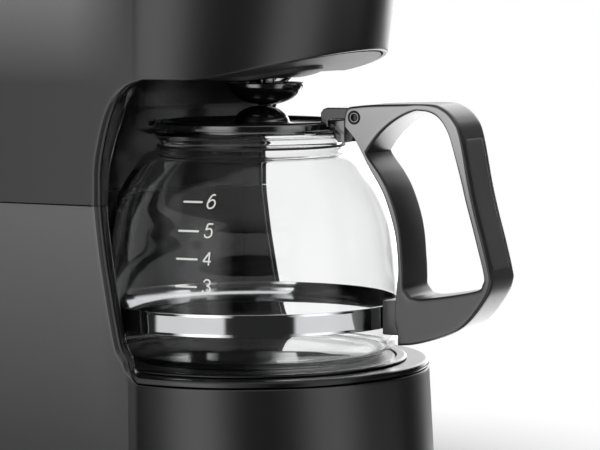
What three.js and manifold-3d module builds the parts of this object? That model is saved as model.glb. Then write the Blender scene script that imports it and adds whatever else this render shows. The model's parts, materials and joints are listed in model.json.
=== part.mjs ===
// Drip coffee maker with a glass carafe, in millimetres.
// The origin lies on the carafe axis at table level: +Z up, the front towards -Y, +X to the right.
import * as THREE from 'three';
import { mergeVertices } from 'three/addons/utils/BufferGeometryUtils.js';
import Module from 'manifold-3d';

const wasm = await Module();
wasm.setup();

// Overall sizes
const baseHeight = 50;
const bayHeight = 118;
const hoodHeight = 84;
const lidHeight = 10;
const baseRadius = 73.6;
const columnDepth = 38;
const handleProud = 40.4;
const ceiling = baseHeight + bayHeight;
const bodyHeight = ceiling + hoodHeight;
const bodyTop = bodyHeight + lidHeight;
const columnRear = baseRadius + columnDepth;
const handleReach = baseRadius + handleProud;

// Walls and clearances
const wall = 2.8;
const thinWall = 2;
const seatGap = 0.3;
const overrun = 20;

// Base drum, column and hood in plan
const flareDepth = 2.8;
const columnInset = 2;
const columnHalfWidth = baseRadius - columnInset;
const columnTaper = 4;
const taperPowerShare = 1.3;
const columnCornerRadius = 26;
const hoodCreaseY = 12;
const hoodCentreY = 19;
const hoodBulge = 0.3;
const hoodHalfWidth = columnHalfWidth + hoodBulge;
const hoodSetback = 0.6;
const hoodDepthLow = baseRadius - hoodSetback;
const hoodOverhang = 8.5;
const shellBottom = 2.5;
const seamHeight = 67.5;
const seam = baseHeight + seamHeight;

// Carafe bay
const bayInset = 1.3;
const bayRadius = baseRadius - bayInset;
const bayWaistY = 32.7;
const bayMouthY = 12;
const bayFilletRadius = 9;
const bayEdgeY = -10;
const frontLift = 10;
const linerThickness = 1.6;
const linerRimHeight = 2.5;
const linerLipRadius = 1.6;

// Outline of the bay's rear edge, as shares of waist and height
const bayCurveShares = [
  [0.37, 0], [0.51, 0.018], [0.63, 0.052], [0.71, 0.089], [0.77, 0.16], [0.845, 0.271],
  [0.936, 0.424], [1, 0.6], [0.979, 0.712], [0.92, 0.794], [0.835, 0.872], [0.71, 0.936],
  [0.55, 0.975], [0.33, 0.997],
];
const liftPowerShare = 1.2;

// Hotplate and heater
const plateMargin = 13.6;
const plateRadius = baseRadius - plateMargin;
const plateRise = 1;
const plateThickness = 1.2;
const plateSkirt = 6;
const plateSealWidth = 4.5;
const plateSealOuter = plateRadius + plateSealWidth;
const plateSealDrop = 4;
const heaterInset = 18;
const heaterSheathRadius = 4;
const heaterBend = plateRadius - heaterInset;
const waterTubeInset = 10;
const waterTubeRadius = 4.5;
const waterTubeBend = heaterBend - waterTubeInset;
const heaterTail = 22;
const clampWidth = 12;
const clampLength = heaterBend * 2 + clampWidth;
const clampThickness = 1.5;
const studRadius = 2.5;
const studLength = 13;
const nutAcross = 8;
const nutHeight = 4;
const thermostatRadius = 8;
const thermostatHeight = 9;
const thermostatPinLength = 5.4;
const thermostatY = 19;
const fuseRadius = 2.2;
const fuseLength = 14;

// Water tank and water ways
const tankSideGap = 11.6;
const tankHalfWidth = columnHalfWidth - tankSideGap;
const tankBayGap = 2;
const tankFrontY = bayRadius + linerThickness + seatGap * 2 + tankBayGap;
const tankStepDepth = 13.5;
const tankUpperFrontY = tankFrontY - tankStepDepth;
const tankRearGap = 8;
const tankRearY = columnRear - tankRearGap;
const tankCornerRadius = 18;
const tankRise = 8;
const tankBottom = baseHeight + tankRise;
const tankStepRise = 10;
const tankStepHeight = ceiling + tankStepRise;
const nippleX = -20;
const nippleInset = 11.6;
const nippleY = tankRearY - nippleInset;
const nippleRadius = 6;
const nippleBore = 4;
const nippleLength = 8;
const hoseRadius = 5;
const hoseBore = 3;
const valveBodyRadius = 7;
const valveBodyLength = 12;
const riserGap = 2.5;
const riserReach = bayRadius + linerThickness + seatGap * 2 + hoseRadius + riserGap;
const riserAzimuth = 44 * Math.PI / 180;
const riserX = riserReach * Math.cos( riserAzimuth );
const riserY = riserReach * Math.sin( riserAzimuth );
const spoutX = 26;
const spoutRadius = 4.5;
const spoutCollarRadius = 6.8;
const spoutLength = 16;

// Deck, filter holder, basket and shower
const deckDrop = 7.5;
const deckTop = bodyHeight - deckDrop;
const deckThickness = 2.5;
const filterCentreY = -7;
const flangeThickness = 1.8;
const holderMargin = 23.1;
const holderTopRadius = columnHalfWidth - holderMargin;
const holderTaper = 7.5;
const holderLowRadius = holderTopRadius - holderTaper;
const holderFlange = 3;
const holderRise = 12;
const holderFloorLevel = ceiling + holderRise;
const holderConeHeight = 8;
const holderWallLevel = holderFloorLevel + holderConeHeight;
const guideRise = 8.5;
const funnelRadius = 8;
const valveBore = 4.6;
const basketGap = 1.5;
const basketTopRadius = holderTopRadius - thinWall - basketGap;
const basketTaper = 8;
const basketLowRadius = basketTopRadius - basketTaper;
const basketFlange = 5;
const basketRise = 7;
const basketLevel = holderWallLevel + basketRise;
const basketOutlet = 5;
const basketRibCount = 6;
const basketRibHeight = 3;
const basketRibWidth = 1.6;
const spoutY = ( filterCentreY + holderTopRadius + holderFlange + tankUpperFrontY - thinWall ) / 2;
const showerInset = 18.5;
const showerRadius = holderTopRadius - showerInset;
const showerDepth = 8;
const showerPlate = 2.2;
const showerHoleRadius = 1.8;
const showerHoleCount = 6;
const showerArmWidth = 14;

// Underside plate and drip valve
const undersideThickness = 2.5;
const bossRadius = 24;
const bossDepth = 1.8;
const bossRecess = 9;
const bowlRadius = 15.8;
const bowlHeight = 9;
const bowlWall = 1.8;
const bowlHubRadius = 7;
const stemRadius = 4;
const stemRibWidth = 1.8;
const valveTravel = 4;
const valveDiscRadius = 7.6;
const valveDiscHeight = 2;
const valveSealHeight = 1.6;
const springWire = 0.7;
const springRadius = 6.3;
const springCurls = 4;

// Top lid and its hinge
const hingeInset = 11;
const hingeY = columnRear - hingeInset;
const hingeDrop = 3.7;
const hingeRadius = 3.4;
const hingePinRadius = 1.5;
const hingeMargin = 14.6;
const hingeHalfLength = columnHalfWidth - hingeMargin;
const middleEarHalf = 12;
const sideEarWidth = 6;
const sideEarInner = hingeHalfLength - sideEarWidth;
const rearStripGap = 1;
const lidSkin = 2.4;
const lidRounding = 3;
const lidRearCut = 1.6;
const lidTabWidth = 30;
const lidTabReach = 4;
const lidTabThickness = 3.6;

// Power switch, cord inlet, cover, feet and screws
const switchAzimuth = -20 * Math.PI / 180;
const switchHeight = 27;
const switchLength = 30;
const switchWidth = 18;
const switchWindow = 24.6;
const switchWindowHeight = 12.6;
const switchFlange = 1.8;
const switchRim = 1.6;
const switchRecess = 1.9;
const switchDepth = 12;
const rockerGap = 0.9;
const rockerThickness = 6;
const rockerValley = 1.3;
const rockerTilt = 10 * Math.PI / 180;
const rockerProud = 1;
const glandX = -30;
const glandHeight = 19;
const glandRadius = 6;
const glandBore = 3.6;
const glandFlange = 2.4;
const glandFlangeWidth = 2.4;
const coverBottom = 3;
const coverThickness = 2.4;
const footRadius = 8;
const footPlugRadius = 2.6;
const footRounding = 0.5;
const footMargin = 0.6;
const footFrontReach = baseRadius - wall - footRadius - footMargin;
const footFrontAzimuth = 45 * Math.PI / 180;
const footRearInset = 20;
const screwHeadRadius = 3.4;
const screwHeadHeight = 1.2;
const screwShankRadius = 1.6;
const screwLength = 11;
const postRadius = 4.5;
const postHeight = 12;
const screwFrontInset = 17.6;
const screwFrontY = -28;
const screwSideInset = 14.6;
const screwRearInset = 37.6;
const ventCount = 5;
const ventLength = 34;
const ventWidth = 3;
const ventPitch = 9;

// Carafe glass, measured from the hotplate
const glassWall = 2;
const carafeHeadroom = 24;
const glassHeight = bayHeight - carafeHeadroom;
const carafeSideGap = 9.4;
const glassBelly = bayRadius - carafeSideGap;
const contactInset = 12.9;
const glassContact = glassBelly - contactInset;
const glassNeck = 38;
const mouthFlare = 3.6;
const glassMouth = glassNeck + mouthFlare;
const neckLength = 7;
const glassNeckHeight = glassHeight - neckLength;
const beakReach = 12;
const beakSpreadShare = 0.42;
const bandHeight = 9.1;
const bandThickness = 0.8;
const neckRingHeight = 1;
const neckRingThickness = 0.9;

// Outer profile of the glass body below the neck, as shares of belly and neck height
const glassCurveShares = [
  [0.85, 0.006], [0.92, 0.03], [0.962, 0.075], [0.988, 0.13], [1, 0.2], [1, 0.3],
  [0.988, 0.42], [0.972, 0.54], [0.938, 0.67], [0.865, 0.8], [0.775, 0.9], [0.705, 0.965],
];

// Neck and mouth of the glass, as shares of the neck's length and the beak's reach
const neckEndShare = 0.4;
const mouthStartShare = 0.75;
const beakStartShare = 0.7;

// Carafe lid
const lidOverlap = 2;
const carafeLidRadius = glassNeck + lidOverlap;
const carafeLidSeat = 0.6;
const carafeLidLow = glassHeight + carafeLidSeat;
const carafeLidHeight = 3.6;
const carafeLidHigh = carafeLidLow + carafeLidHeight;
const carafeLidDish = 1.6;
const carafePlugInset = 3;
const carafeLidPlug = glassNeck - carafePlugInset;
const carafeLidPlugDrop = 8;
const domeRadius = 11.8;
const domeHeight = 7.5;
const domeShift = 5;
const lidArmHalf = 7.6;
const lidArmThickness = 4.6;
const lidBeakLength = 6;
const lidBeakThickness = 2.3;

// Carafe handle, in reach from the axis and height above the hotplate
const handleWidth = 24;
const handleStrap = 2.6;
const blockGap = 8.8;
const blockInner = glassBelly + blockGap;
const handleSpan = handleReach - blockInner;
const clipGap = 1.6;
const clipInner = glassMouth + clipGap;
const clipDepth = 5.1;
const clipOuter = clipInner + clipDepth;
const clipHalf = 9;
const clipDrop = 4;
const clipLow = glassHeight - clipDrop;
const pinSetback = 5.8;
const pinReach = clipOuter + pinSetback;
const pinRise = 6.4;
const pinHeight = glassHeight + pinRise;
const handleRise = 5.8;
const handleTop = pinHeight + handleRise;
const screwLevelShare = 0.1822;
const screwLevel = handleTop * screwLevelShare;
const bandBottom = screwLevel - bandHeight / 2;
const pinSpan = blockInner - pinReach;
const pinRadius = 1.8;
const pinHeadRadius = 2.9;
const knuckleRadius = 3.6;
const knuckleHalf = 8;
const clipHigh = pinHeight + knuckleRadius - lidArmThickness - seatGap;
const bracketWidth = 14;
const bracketHalfHeight = 7;
const gripWidth = 17;
const gripThickness = 1.1;
const gripSpanShares = [ 0.377, 0.876 ];
const bandScrewRadius = 2;
const bandScrewHead = 4;
const pocketWidth = 18;
const pocketInset = 5.2;

// Outer edge of the handle, as shares of the span beyond the block and of the top height
const handleOuterShares = [
  [ - 0.186, 0.995 ], [ 0.326, 1 ], [ 0.488, 0.988 ], [ 0.617, 0.946 ], [ 0.697, 0.875 ],
  [ 0.811, 0.65 ], [ 0.92, 0.49 ], [ 0.993, 0.37 ], [ 1, 0.335 ], [ 0.955, 0.285 ],
  [ 0.811, 0.205 ], [ 0.663, 0.153 ], [ 0.434, 0.115 ], [ 0.191, 0.09 ], [ 0.031, 0.083 ],
];

// Glass side of the handle, as shares of the span from pin to block and of the top height
const handleInnerShares = [
  [ 1.074, 0.133 ], [ 1, 0.162 ], [ 1, 0.224 ], [ 1.045, 0.3 ], [ 1.074, 0.38 ], [ 1, 0.51 ],
  [ 0.722, 0.65 ], [ 0.352, 0.755 ], [ 0.148, 0.82 ], [ - 0.074, 0.88 ], [ - 0.278, 0.911 ],
];

// Finger opening: its glass side, in the shares of the handle's glass side
const openingNearShares = [
  [ 0.295, 0.81 ], [ 0.392, 0.785 ], [ 0.67, 0.727 ], [ 0.909, 0.655 ], [ 1.125, 0.535 ],
  [ 1.216, 0.4 ], [ 1.227, 0.305 ],
];

// Finger opening: its floor and grip side, in the shares of the handle's outer edge
const openingFarShares = [
  [ 0.165, 0.27 ], [ 0.32, 0.268 ], [ 0.825, 0.305 ], [ 0.91, 0.335 ], [ 0.92, 0.37 ],
  [ 0.851, 0.475 ], [ 0.738, 0.635 ], [ 0.636, 0.79 ], [ 0.563, 0.885 ], [ 0.477, 0.94 ],
  [ 0.366, 0.968 ], [ 0.232, 0.975 ],
];
const pocketShares = [ 0.674, 0.2, 0.235 ];

// Facets
const roundSides = 24;
const smallSides = 10;
const tubeSides = 6;
const arcSteps = 18;
const hoodSteps = 4;
const bowlSteps = 5;
const domeSteps = 4;
const bayEdgeSteps = 13;
const glassSteps = 8;
const handleOuterSteps = 30;
const handleInnerSteps = 16;
const openingNearSteps = 8;
const openingFarSteps = 16;
const horseshoePoints = 12;
const horseshoeSteps = 14;
const hoseSteps = 14;
const riserSteps = 22;

// Materials
const blackPlastic = { color: 0x1d1d1f, roughness: 0.42, metalness: 0 };
const glossPlastic = { color: 0x111113, roughness: 0.22, metalness: 0 };
const darkPlastic = { color: 0x2a2a2c, roughness: 0.6, metalness: 0 };
const whitePlastic = { color: 0xd9d9d4, roughness: 0.5, metalness: 0 };
const silicone = { color: 0xb9b4aa, roughness: 0.75, metalness: 0 };
const blackRubber = { color: 0x161616, roughness: 0.85, metalness: 0 };
const chrome = { color: 0xd8dade, roughness: 0.08, metalness: 1 };
const steel = { color: 0xa9abae, roughness: 0.35, metalness: 1 };
const aluminium = { color: 0xb4b6b9, roughness: 0.45, metalness: 1 };
const enamel = { color: 0x151517, roughness: 0.3, metalness: 0.2 };
const clearGlass = { color: 0xe8f0f2, roughness: 0.03, metalness: 0 };

// Geometry helpers

// Signed volume, which is negative when the faces point inwards
function signedVolume( positions, index ) {
  const corner = [ new THREE.Vector3(), new THREE.Vector3(), new THREE.Vector3() ];
  let total = 0;
  for ( let i = 0; i < index.length; i += 3 ) {
    for ( let k = 0; k < 3; k ++ ) corner[ k ].fromArray( positions, index[ i + k ] * 3 );
    total += corner[ 0 ].dot( corner[ 1 ].cross( corner[ 2 ] ) ) / 6;
  }
  return total;
}

// Closed geometry to a solid that can be cut and joined
function solid( geometry ) {
  const bare = geometry.clone();
  bare.deleteAttribute( 'normal' );
  bare.deleteAttribute( 'uv' );
  const merged = mergeVertices( bare );
  const positions = new Float32Array( merged.getAttribute( 'position' ).array );
  const index = new Uint32Array( merged.index.array );
  if ( signedVolume( positions, index ) < 0 ) index.reverse();
  return new wasm.Manifold( new wasm.Mesh( { numProp: 3, vertProperties: positions, triVerts: index } ) );
}

function join( ...solids ) {
  return solids.reduce( ( sum, next ) => sum.add( next ) );
}

function cut( body, ...tools ) {
  return tools.reduce( ( rest, tool ) => rest.subtract( tool ), body );
}

function common( ...solids ) {
  return solids.reduce( ( shared, next ) => shared.intersect( next ) );
}

// Two copies, one on each side of the middle plane
function bothSides( make ) {
  return [ 1, - 1 ].map( make );
}

// Rings with the same number of points, skinned in order and closed by a fan at both ends
function loft( rings ) {
  const count = rings[ 0 ].length;
  const positions = [];
  const index = [];
  for ( const ring of rings ) for ( const point of ring ) positions.push( point.x, point.y, point.z );
  for ( let level = 0; level < rings.length - 1; level ++ ) {
    for ( let i = 0; i < count; i ++ ) {
      const next = ( i + 1 ) % count;
      const a = level * count + i;
      const b = level * count + next;
      index.push( a, b, b + count, a, b + count, a + count );
    }
  }
  [ rings[ 0 ], rings[ rings.length - 1 ] ].forEach( ( ring, end ) => {
    const middle = ring.reduce( ( sum, point ) => sum.add( point ), new THREE.Vector3() );
    middle.divideScalar( count );
    const centre = positions.length / 3;
    const first = end * ( rings.length - 1 ) * count;
    positions.push( middle.x, middle.y, middle.z );
    for ( let i = 0; i < count; i ++ ) {
      const next = ( i + 1 ) % count;
      if ( end ) index.push( centre, first + i, first + next );
      else index.push( centre, first + next, first + i );
    }
  } );
  const geometry = new THREE.BufferGeometry();
  geometry.setAttribute( 'position', new THREE.Float32BufferAttribute( positions, 3 ) );
  geometry.setIndex( index );
  return solid( geometry );
}

function box( [ x0, x1 ], [ y0, y1 ], [ z0, z1 ] ) {
  const geometry = new THREE.BoxGeometry( x1 - x0, y1 - y0, z1 - z0 );
  geometry.translate( ( x0 + x1 ) / 2, ( y0 + y1 ) / 2, ( z0 + z1 ) / 2 );
  return solid( geometry );
}

// Upright cylinder at x, y
function post( x, y, [ z0, z1 ], radius, sides = smallSides ) {
  const geometry = new THREE.CylinderGeometry( radius, radius, z1 - z0, sides );
  geometry.rotateX( Math.PI / 2 );
  geometry.translate( x, y, ( z0 + z1 ) / 2 );
  return solid( geometry );
}

// Cylinder along X at y, z
function rod( y, z, [ x0, x1 ], radius ) {
  const geometry = new THREE.CylinderGeometry( radius, radius, Math.abs( x1 - x0 ), smallSides );
  geometry.rotateZ( Math.PI / 2 );
  geometry.translate( ( x0 + x1 ) / 2, y, z );
  return solid( geometry );
}

// Profile of radius and height pairs turned about the vertical axis at x, y
function turned( profile, x = 0, y = 0, sides = roundSides ) {
  const points = profile.map( ( [ radius, height ] ) => new THREE.Vector2( radius, height ) );
  const geometry = new THREE.LatheGeometry( points, sides );
  geometry.rotateX( Math.PI / 2 );
  geometry.translate( x, y, 0 );
  return solid( geometry );
}

// Closed ring of rectangular section
function ring( inner, outer, [ z0, z1 ], x = 0, y = 0, sides = roundSides ) {
  const profile = [ [ inner, z0 ], [ outer, z0 ], [ outer, z1 ], [ inner, z1 ], [ inner, z0 ] ];
  return turned( profile, x, y, sides );
}

// Outline of Y and Z pairs pushed through from x0 to x1
function sideways( outline, [ x0, x1 ], holes = [] ) {
  const flat = ( pairs ) => pairs.map( ( [ y, z ] ) => new THREE.Vector2( y, z ) );
  const shape = new THREE.Shape( flat( outline ) );
  shape.holes = holes.map( ( hole ) => new THREE.Path( flat( hole ) ) );
  const geometry = new THREE.ExtrudeGeometry( shape, { depth: x1 - x0, bevelEnabled: false } );
  const turn = new THREE.Matrix4().makeBasis(
    new THREE.Vector3( 0, 1, 0 ), new THREE.Vector3( 0, 0, 1 ), new THREE.Vector3( 1, 0, 0 ) );
  geometry.applyMatrix4( turn );
  geometry.translate( x0, 0, 0 );
  return solid( geometry );
}

// Outline of X and Y pairs raised from z0 to z1
function raised( outline, [ z0, z1 ] ) {
  const shape = new THREE.Shape( outline.map( ( [ x, y ] ) => new THREE.Vector2( x, y ) ) );
  const geometry = new THREE.ExtrudeGeometry( shape, { depth: z1 - z0, bevelEnabled: false } );
  geometry.translate( 0, 0, z0 );
  return solid( geometry );
}

function circleShape( radius ) {
  const shape = new THREE.Shape();
  for ( let i = 0; i < tubeSides; i ++ ) {
    const angle = 2 * Math.PI * i / tubeSides;
    shape[ i ? 'lineTo' : 'moveTo' ]( radius * Math.cos( angle ), radius * Math.sin( angle ) );
  }
  return shape;
}

// Round tube that follows a smooth path, hollow where a bore is given
function tube( path, radius, steps, bore = 0 ) {
  const curve = new THREE.CatmullRomCurve3( path.map( ( point ) => new THREE.Vector3( ...point ) ) );
  const shape = circleShape( radius );
  if ( bore ) shape.holes.push( circleShape( bore ) );
  return solid( new THREE.ExtrudeGeometry( shape, { steps, bevelEnabled: false, extrudePath: curve } ) );
}

// Smooth line through pairs of numbers
function smoothLine( pairs, steps ) {
  const curve = new THREE.SplineCurve( pairs.map( ( [ a, b ] ) => new THREE.Vector2( a, b ) ) );
  return curve.getPoints( steps ).map( ( point ) => [ point.x, point.y ] );
}

// The line moved sideways by a distance, to the right of its direction
function offsetLine( line, distance ) {
  return line.map( ( [ a, b ], i ) => {
    const before = line[ Math.max( i - 1, 0 ) ];
    const after = line[ Math.min( i + 1, line.length - 1 ) ];
    const direction = new THREE.Vector2( after[ 0 ] - before[ 0 ], after[ 1 ] - before[ 1 ] ).normalize();
    return [ a + direction.y * distance, b - direction.x * distance ];
  } );
}

// Plan outlines of the body

// Half width of the column at a distance behind the crease
function columnX( y, inset ) {
  const share = Math.max( 0, y - hoodCreaseY ) / ( columnRear - hoodCreaseY );
  return columnHalfWidth - columnTaper * share ** taperPowerShare - inset;
}

// Right side and rear of the column, from its front edge to the middle of the rear wall
function columnSide( startY, inset ) {
  const sideSteps = 3;
  const cornerSteps = 4;
  const rear = columnRear - inset;
  const radius = columnCornerRadius - inset;
  const cornerY = rear - radius;
  const points = [];
  for ( let i = 0; i < sideSteps; i ++ ) {
    const y = startY + ( cornerY - startY ) * i / sideSteps;
    points.push( [ columnX( y, inset ), y ] );
  }
  const cornerX = columnX( cornerY, inset ) - radius;
  for ( let i = 0; i <= cornerSteps; i ++ ) {
    const angle = Math.PI / 2 * i / cornerSteps;
    points.push( [ cornerX + radius * Math.cos( angle ), cornerY + radius * Math.sin( angle ) ] );
  }
  return points;
}

// Whole outline at a height, from a front arc given by a function of the turn from the front
function planRing( z, arcPoint, startY, inset ) {
  const arc = [];
  for ( let i = 0; i <= arcSteps; i ++ ) arc.push( arcPoint( 2 * i / arcSteps - 1 ) );
  const right = columnSide( startY, inset ).slice( 1 );
  const left = right.map( ( [ x, y ] ) => [ - x, y ] ).reverse();
  return [ ...arc, ...right, ...left ].map( ( [ x, y ] ) => new THREE.Vector3( x, y, z ) );
}

// The base drum is a circle about the carafe axis, wider at its foot in front
function baseRing( z, inset = 0 ) {
  const crease = Math.sqrt( baseRadius ** 2 - columnHalfWidth ** 2 );
  const span = Math.PI / 2 + Math.asin( crease / baseRadius );
  const flare = flareDepth * Math.max( 0, 1 - z / baseHeight );
  return planRing( z, ( share ) => {
    const angle = span * share;
    const radius = baseRadius + flare * Math.cos( share * Math.PI / 2 ) - inset;
    return [ radius * Math.sin( angle ), - radius * Math.cos( angle ) ];
  }, crease, inset );
}

// The hood is a half ellipse that grows forwards with height
function hoodRing( z, inset = 0 ) {
  const share = THREE.MathUtils.clamp( ( z - ceiling ) / ( bodyTop - ceiling ), 0, 1 );
  const depth = hoodDepthLow + hoodOverhang * ( 1 - ( 1 - share ) ** 2 ) - inset;
  const half = hoodHalfWidth - inset;
  const limit = Math.acos( ( hoodCentreY - hoodCreaseY ) / depth );
  return planRing( z, ( turn ) => {
    const angle = limit * turn;
    return [ half * Math.sin( angle ), hoodCentreY - depth * Math.cos( angle ) ];
  }, hoodCreaseY, inset );
}

// Levels between two heights
function levels( z0, z1, count ) {
  return Array.from( { length: count + 1 }, ( _, i ) => z0 + ( z1 - z0 ) * i / count );
}

function baseBlock( z0, z1, inset = 0 ) {
  return loft( [ z0, z1 ].map( ( z ) => baseRing( z, inset ) ) );
}

// Block with the hood's outline, with its rings at the same heights in every piece
function hoodBlock( z0, z1, inset = 0 ) {
  const between = ( z ) => z > z0 + seatGap && z < z1 - seatGap;
  const shared = levels( ceiling, bodyTop, hoodSteps ).filter( between );
  return loft( [ z0, ...shared, z1 ].map( ( z ) => hoodRing( z, inset ) ) );
}

// Everything below or above the line where the two halves of the body meet
function belowSeam() {
  const reach = columnRear + overrun;
  return box( [ - reach, reach ], [ - reach, reach ], [ - overrun, seam - seatGap / 2 ] );
}

function aboveSeam() {
  const reach = columnRear + overrun;
  return box( [ - reach, reach ], [ - reach, reach ], [ seam + seatGap / 2, bodyTop + overrun ] );
}

// The bay that holds the carafe

// Ceiling line from the bay's rear edge towards the front, where the hood's edge sweeps up
function ceilingLine( lift = 0 ) {
  const steps = 6;
  const front = - baseRadius - overrun;
  const hoodFront = hoodCentreY - hoodDepthLow;
  return levels( bayEdgeY, front, steps ).map( ( y ) => {
    const share = ( bayEdgeY - y ) / ( bayEdgeY - hoodFront );
    return [ y, ceiling + lift + frontLift * share ** liftPowerShare ];
  } );
}

// Rear edge of the bay, from the base rim up to the ceiling
function bayEdge( grow ) {
  const pairs = bayCurveShares.map( ( [ back, up ] ) => [ back * bayWaistY, baseHeight + up * bayHeight ] );
  return offsetLine( smoothLine( pairs, bayEdgeSteps ), grow );
}

// Everything that the bay leaves open, made larger round the back and below the floor where asked
function bayVolume( grow = 0, floorGrow = grow ) {
  const front = - baseRadius - overrun;
  const reach = columnHalfWidth + overrun;
  const floor = baseHeight - floorGrow;
  const outline = [ [ front, floor ], [ bayMouthY, floor ], ...bayEdge( grow ), [ bayEdgeY, ceiling ] ];
  const open = sideways( [ ...outline, ...ceilingLine().slice( 1 ) ], [ - reach, reach ] );
  const radius = bayRadius + grow;
  const fillet = bayFilletRadius;
  return join( open, turned( [
    [ 0, floor ], [ radius - fillet / 2, floor ], [ radius - fillet / 6, floor + fillet / 4 ],
    [ radius, floor + fillet ], [ radius, ceiling - fillet ], [ radius - fillet / 3, ceiling - fillet / 3 ],
    [ radius - fillet, ceiling ], [ 0, ceiling ],
  ] ) );
}

const bay = bayVolume();

// Room that the liner takes out of the shells
function linerRoom() {
  const room = bayVolume( linerThickness + seatGap, linerRimHeight + seatGap );
  return common( room, baseBlock( baseHeight - overrun, ceiling, - overrun ) );
}

// Post for a cover screw, webbed to the nearest wall
function screwPost( [ x, y ] ) {
  const reach = Math.hypot( x, y );
  const [ outX, outY ] = y > 0 ? [ Math.sign( x ), 0 ] : [ x / reach, y / reach ];
  const column = post( x, y, postSpan(), postRadius );
  const distances = [ postRadius, postRadius * 2 ];
  const webs = distances.map( ( away ) => column.translate( outX * away, outY * away, 0 ) );
  return common( join( column, ...webs ), baseBlock( shellBottom, baseHeight, wall / 2 ) );
}

function lowerShell() {
  const outer = loft( [ shellBottom, baseHeight, seam + overrun ].map( ( z ) => baseRing( z ) ) );
  const inner = loft( [ - overrun, baseHeight, seam + overrun * 2 ].map( ( z ) => baseRing( z, wall ) ) );
  const shell = join( cut( outer, inner ), ...screwPlaces().map( screwPost ) );
  const bore = screwShankRadius + seatGap;
  const bores = screwPlaces().map( ( [ x, y ] ) => post( x, y, [ - overrun, screwTip() ], bore ) );
  const glandSpan = [ columnRear - wall - glandFlange, columnRear + overrun ];
  const gland = alongRear( glandRadius + seatGap, glandSpan );
  return common( cut( shell, linerRoom(), ...bores, gland, switchOpening() ), belowSeam() );
}

// Strip behind the lid, as high as the lid
function rearStrip() {
  const stripY = hingeY + hingeRadius + rearStripGap;
  const skin = cut( hoodBlock( bodyHeight - wall, bodyTop ), hoodBlock( 0, bodyTop + overrun, wall ) );
  const reach = [ - columnHalfWidth, columnHalfWidth ];
  return common( skin, box( reach, [ stripY, columnRear + overrun ], [ 0, bodyTop + overrun ] ) );
}

function upperShell() {
  const outer = hoodBlock( seam - overrun, bodyHeight );
  const inner = hoodBlock( seam - overrun * 2, bodyHeight + overrun, wall );
  const walls = join( cut( outer, inner ), rearStrip(), ...hingeEars() );
  return common( cut( walls, bay, linerRoom(), hingeBore() ), aboveSeam() );
}

function hingeAxis() {
  return [ hingeY, bodyTop - hingeDrop ];
}

function hingeBoreRadius() {
  return hingePinRadius / Math.cos( Math.PI / smallSides ) + seatGap / 6;
}

function hingeBore() {
  const [ y, z ] = hingeAxis();
  return rod( y, z, [ - hingeHalfLength - overrun, hingeHalfLength - wall / 2 ], hingeBoreRadius() );
}

// Ears on the rear strip that carry the hinge pin
function hingeEars() {
  const [ y, z ] = hingeAxis();
  const inside = hoodBlock( deckTop, bodyTop, wall / 2 );
  const spans = [
    [ - middleEarHalf, middleEarHalf ],
    [ sideEarInner, hingeHalfLength ],
    [ - hingeHalfLength, - sideEarInner ],
  ];
  return spans.map( ( span ) => common( inside, join(
    rod( y, z, span, hingeRadius ),
    box( span, [ y, columnRear ], [ z - hingeRadius, z ] ),
    box( span, [ columnRear - wall * 2, columnRear ], [ deckTop + seatGap, z ] ),
  ) ) );
}

// Skin of the bay with a rounded lip along the base rim
function bayLiner() {
  const skin = cut( bayVolume( linerThickness, linerRimHeight ), bay );
  const lip = loft( [
    baseRing( baseHeight - linerRimHeight - overrun ), baseRing( baseHeight - linerLipRadius ),
    baseRing( baseHeight - linerLipRadius / 3, linerLipRadius / 3 ), baseRing( baseHeight, linerLipRadius ),
    baseRing( baseHeight + seatGap, seatGap ), baseRing( ceiling - seatGap ),
  ] );
  const hole = post( 0, 0, [ 0, ceiling ], plateRadius + thinWall, roundSides );
  return cut( common( skin, lip ), hole );
}

// Lid of the bay, with the boss round the drip valve
function undersidePlate() {
  const low = [ [ bayRadius, ceiling + seatGap / 2 ], ...ceilingLine( seatGap / 2 ) ];
  const high = [ [ bayRadius, ceiling + undersideThickness ], ...ceilingLine( undersideThickness ) ];
  const slab = sideways( [ ...low, ...high.reverse() ], [ - columnHalfWidth, columnHalfWidth ] );
  const inside = hoodBlock( ceiling - overrun, ceiling + overrun * 2, wall + seatGap );
  const bossLow = ceiling - bossDepth;
  const top = ceiling + undersideThickness;
  const boss = post( 0, filterCentreY, [ bossLow, top + undersideThickness ], bossRadius, roundSides );
  const recess = post( 0, filterCentreY, [ bossLow - overrun, top + overrun ], bossRecess, roundSides / 2 );
  const riserHole = post( riserX, riserY, [ bossLow - overrun, top + overrun ], hoseRadius + seatGap * 3 );
  return cut( join( common( slab, inside ), boss ), recess, riserHole );
}

// Water tank

// Rounded rectangle from the tank's front to its rear
function tankOutline( frontY, inset ) {
  const cornerSteps = 4;
  const rearRadius = tankCornerRadius - inset;
  const frontRadius = thinWall * 2;
  const half = tankHalfWidth - inset;
  const front = frontY + inset;
  const rear = tankRearY - inset;
  const corners = [
    [ half - frontRadius, front + frontRadius, frontRadius ],
    [ half - rearRadius, rear - rearRadius, rearRadius ],
    [ rearRadius - half, rear - rearRadius, rearRadius ],
    [ frontRadius - half, front + frontRadius, frontRadius ],
  ];
  return corners.flatMap( ( [ x, y, radius ], corner ) => {
    const quarter = levels( corner - 1, corner, cornerSteps ).map( ( turn ) => Math.PI / 2 * turn );
    return quarter.map( ( angle ) => [ x + radius * Math.cos( angle ), y + radius * Math.sin( angle ) ] );
  } );
}

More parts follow.
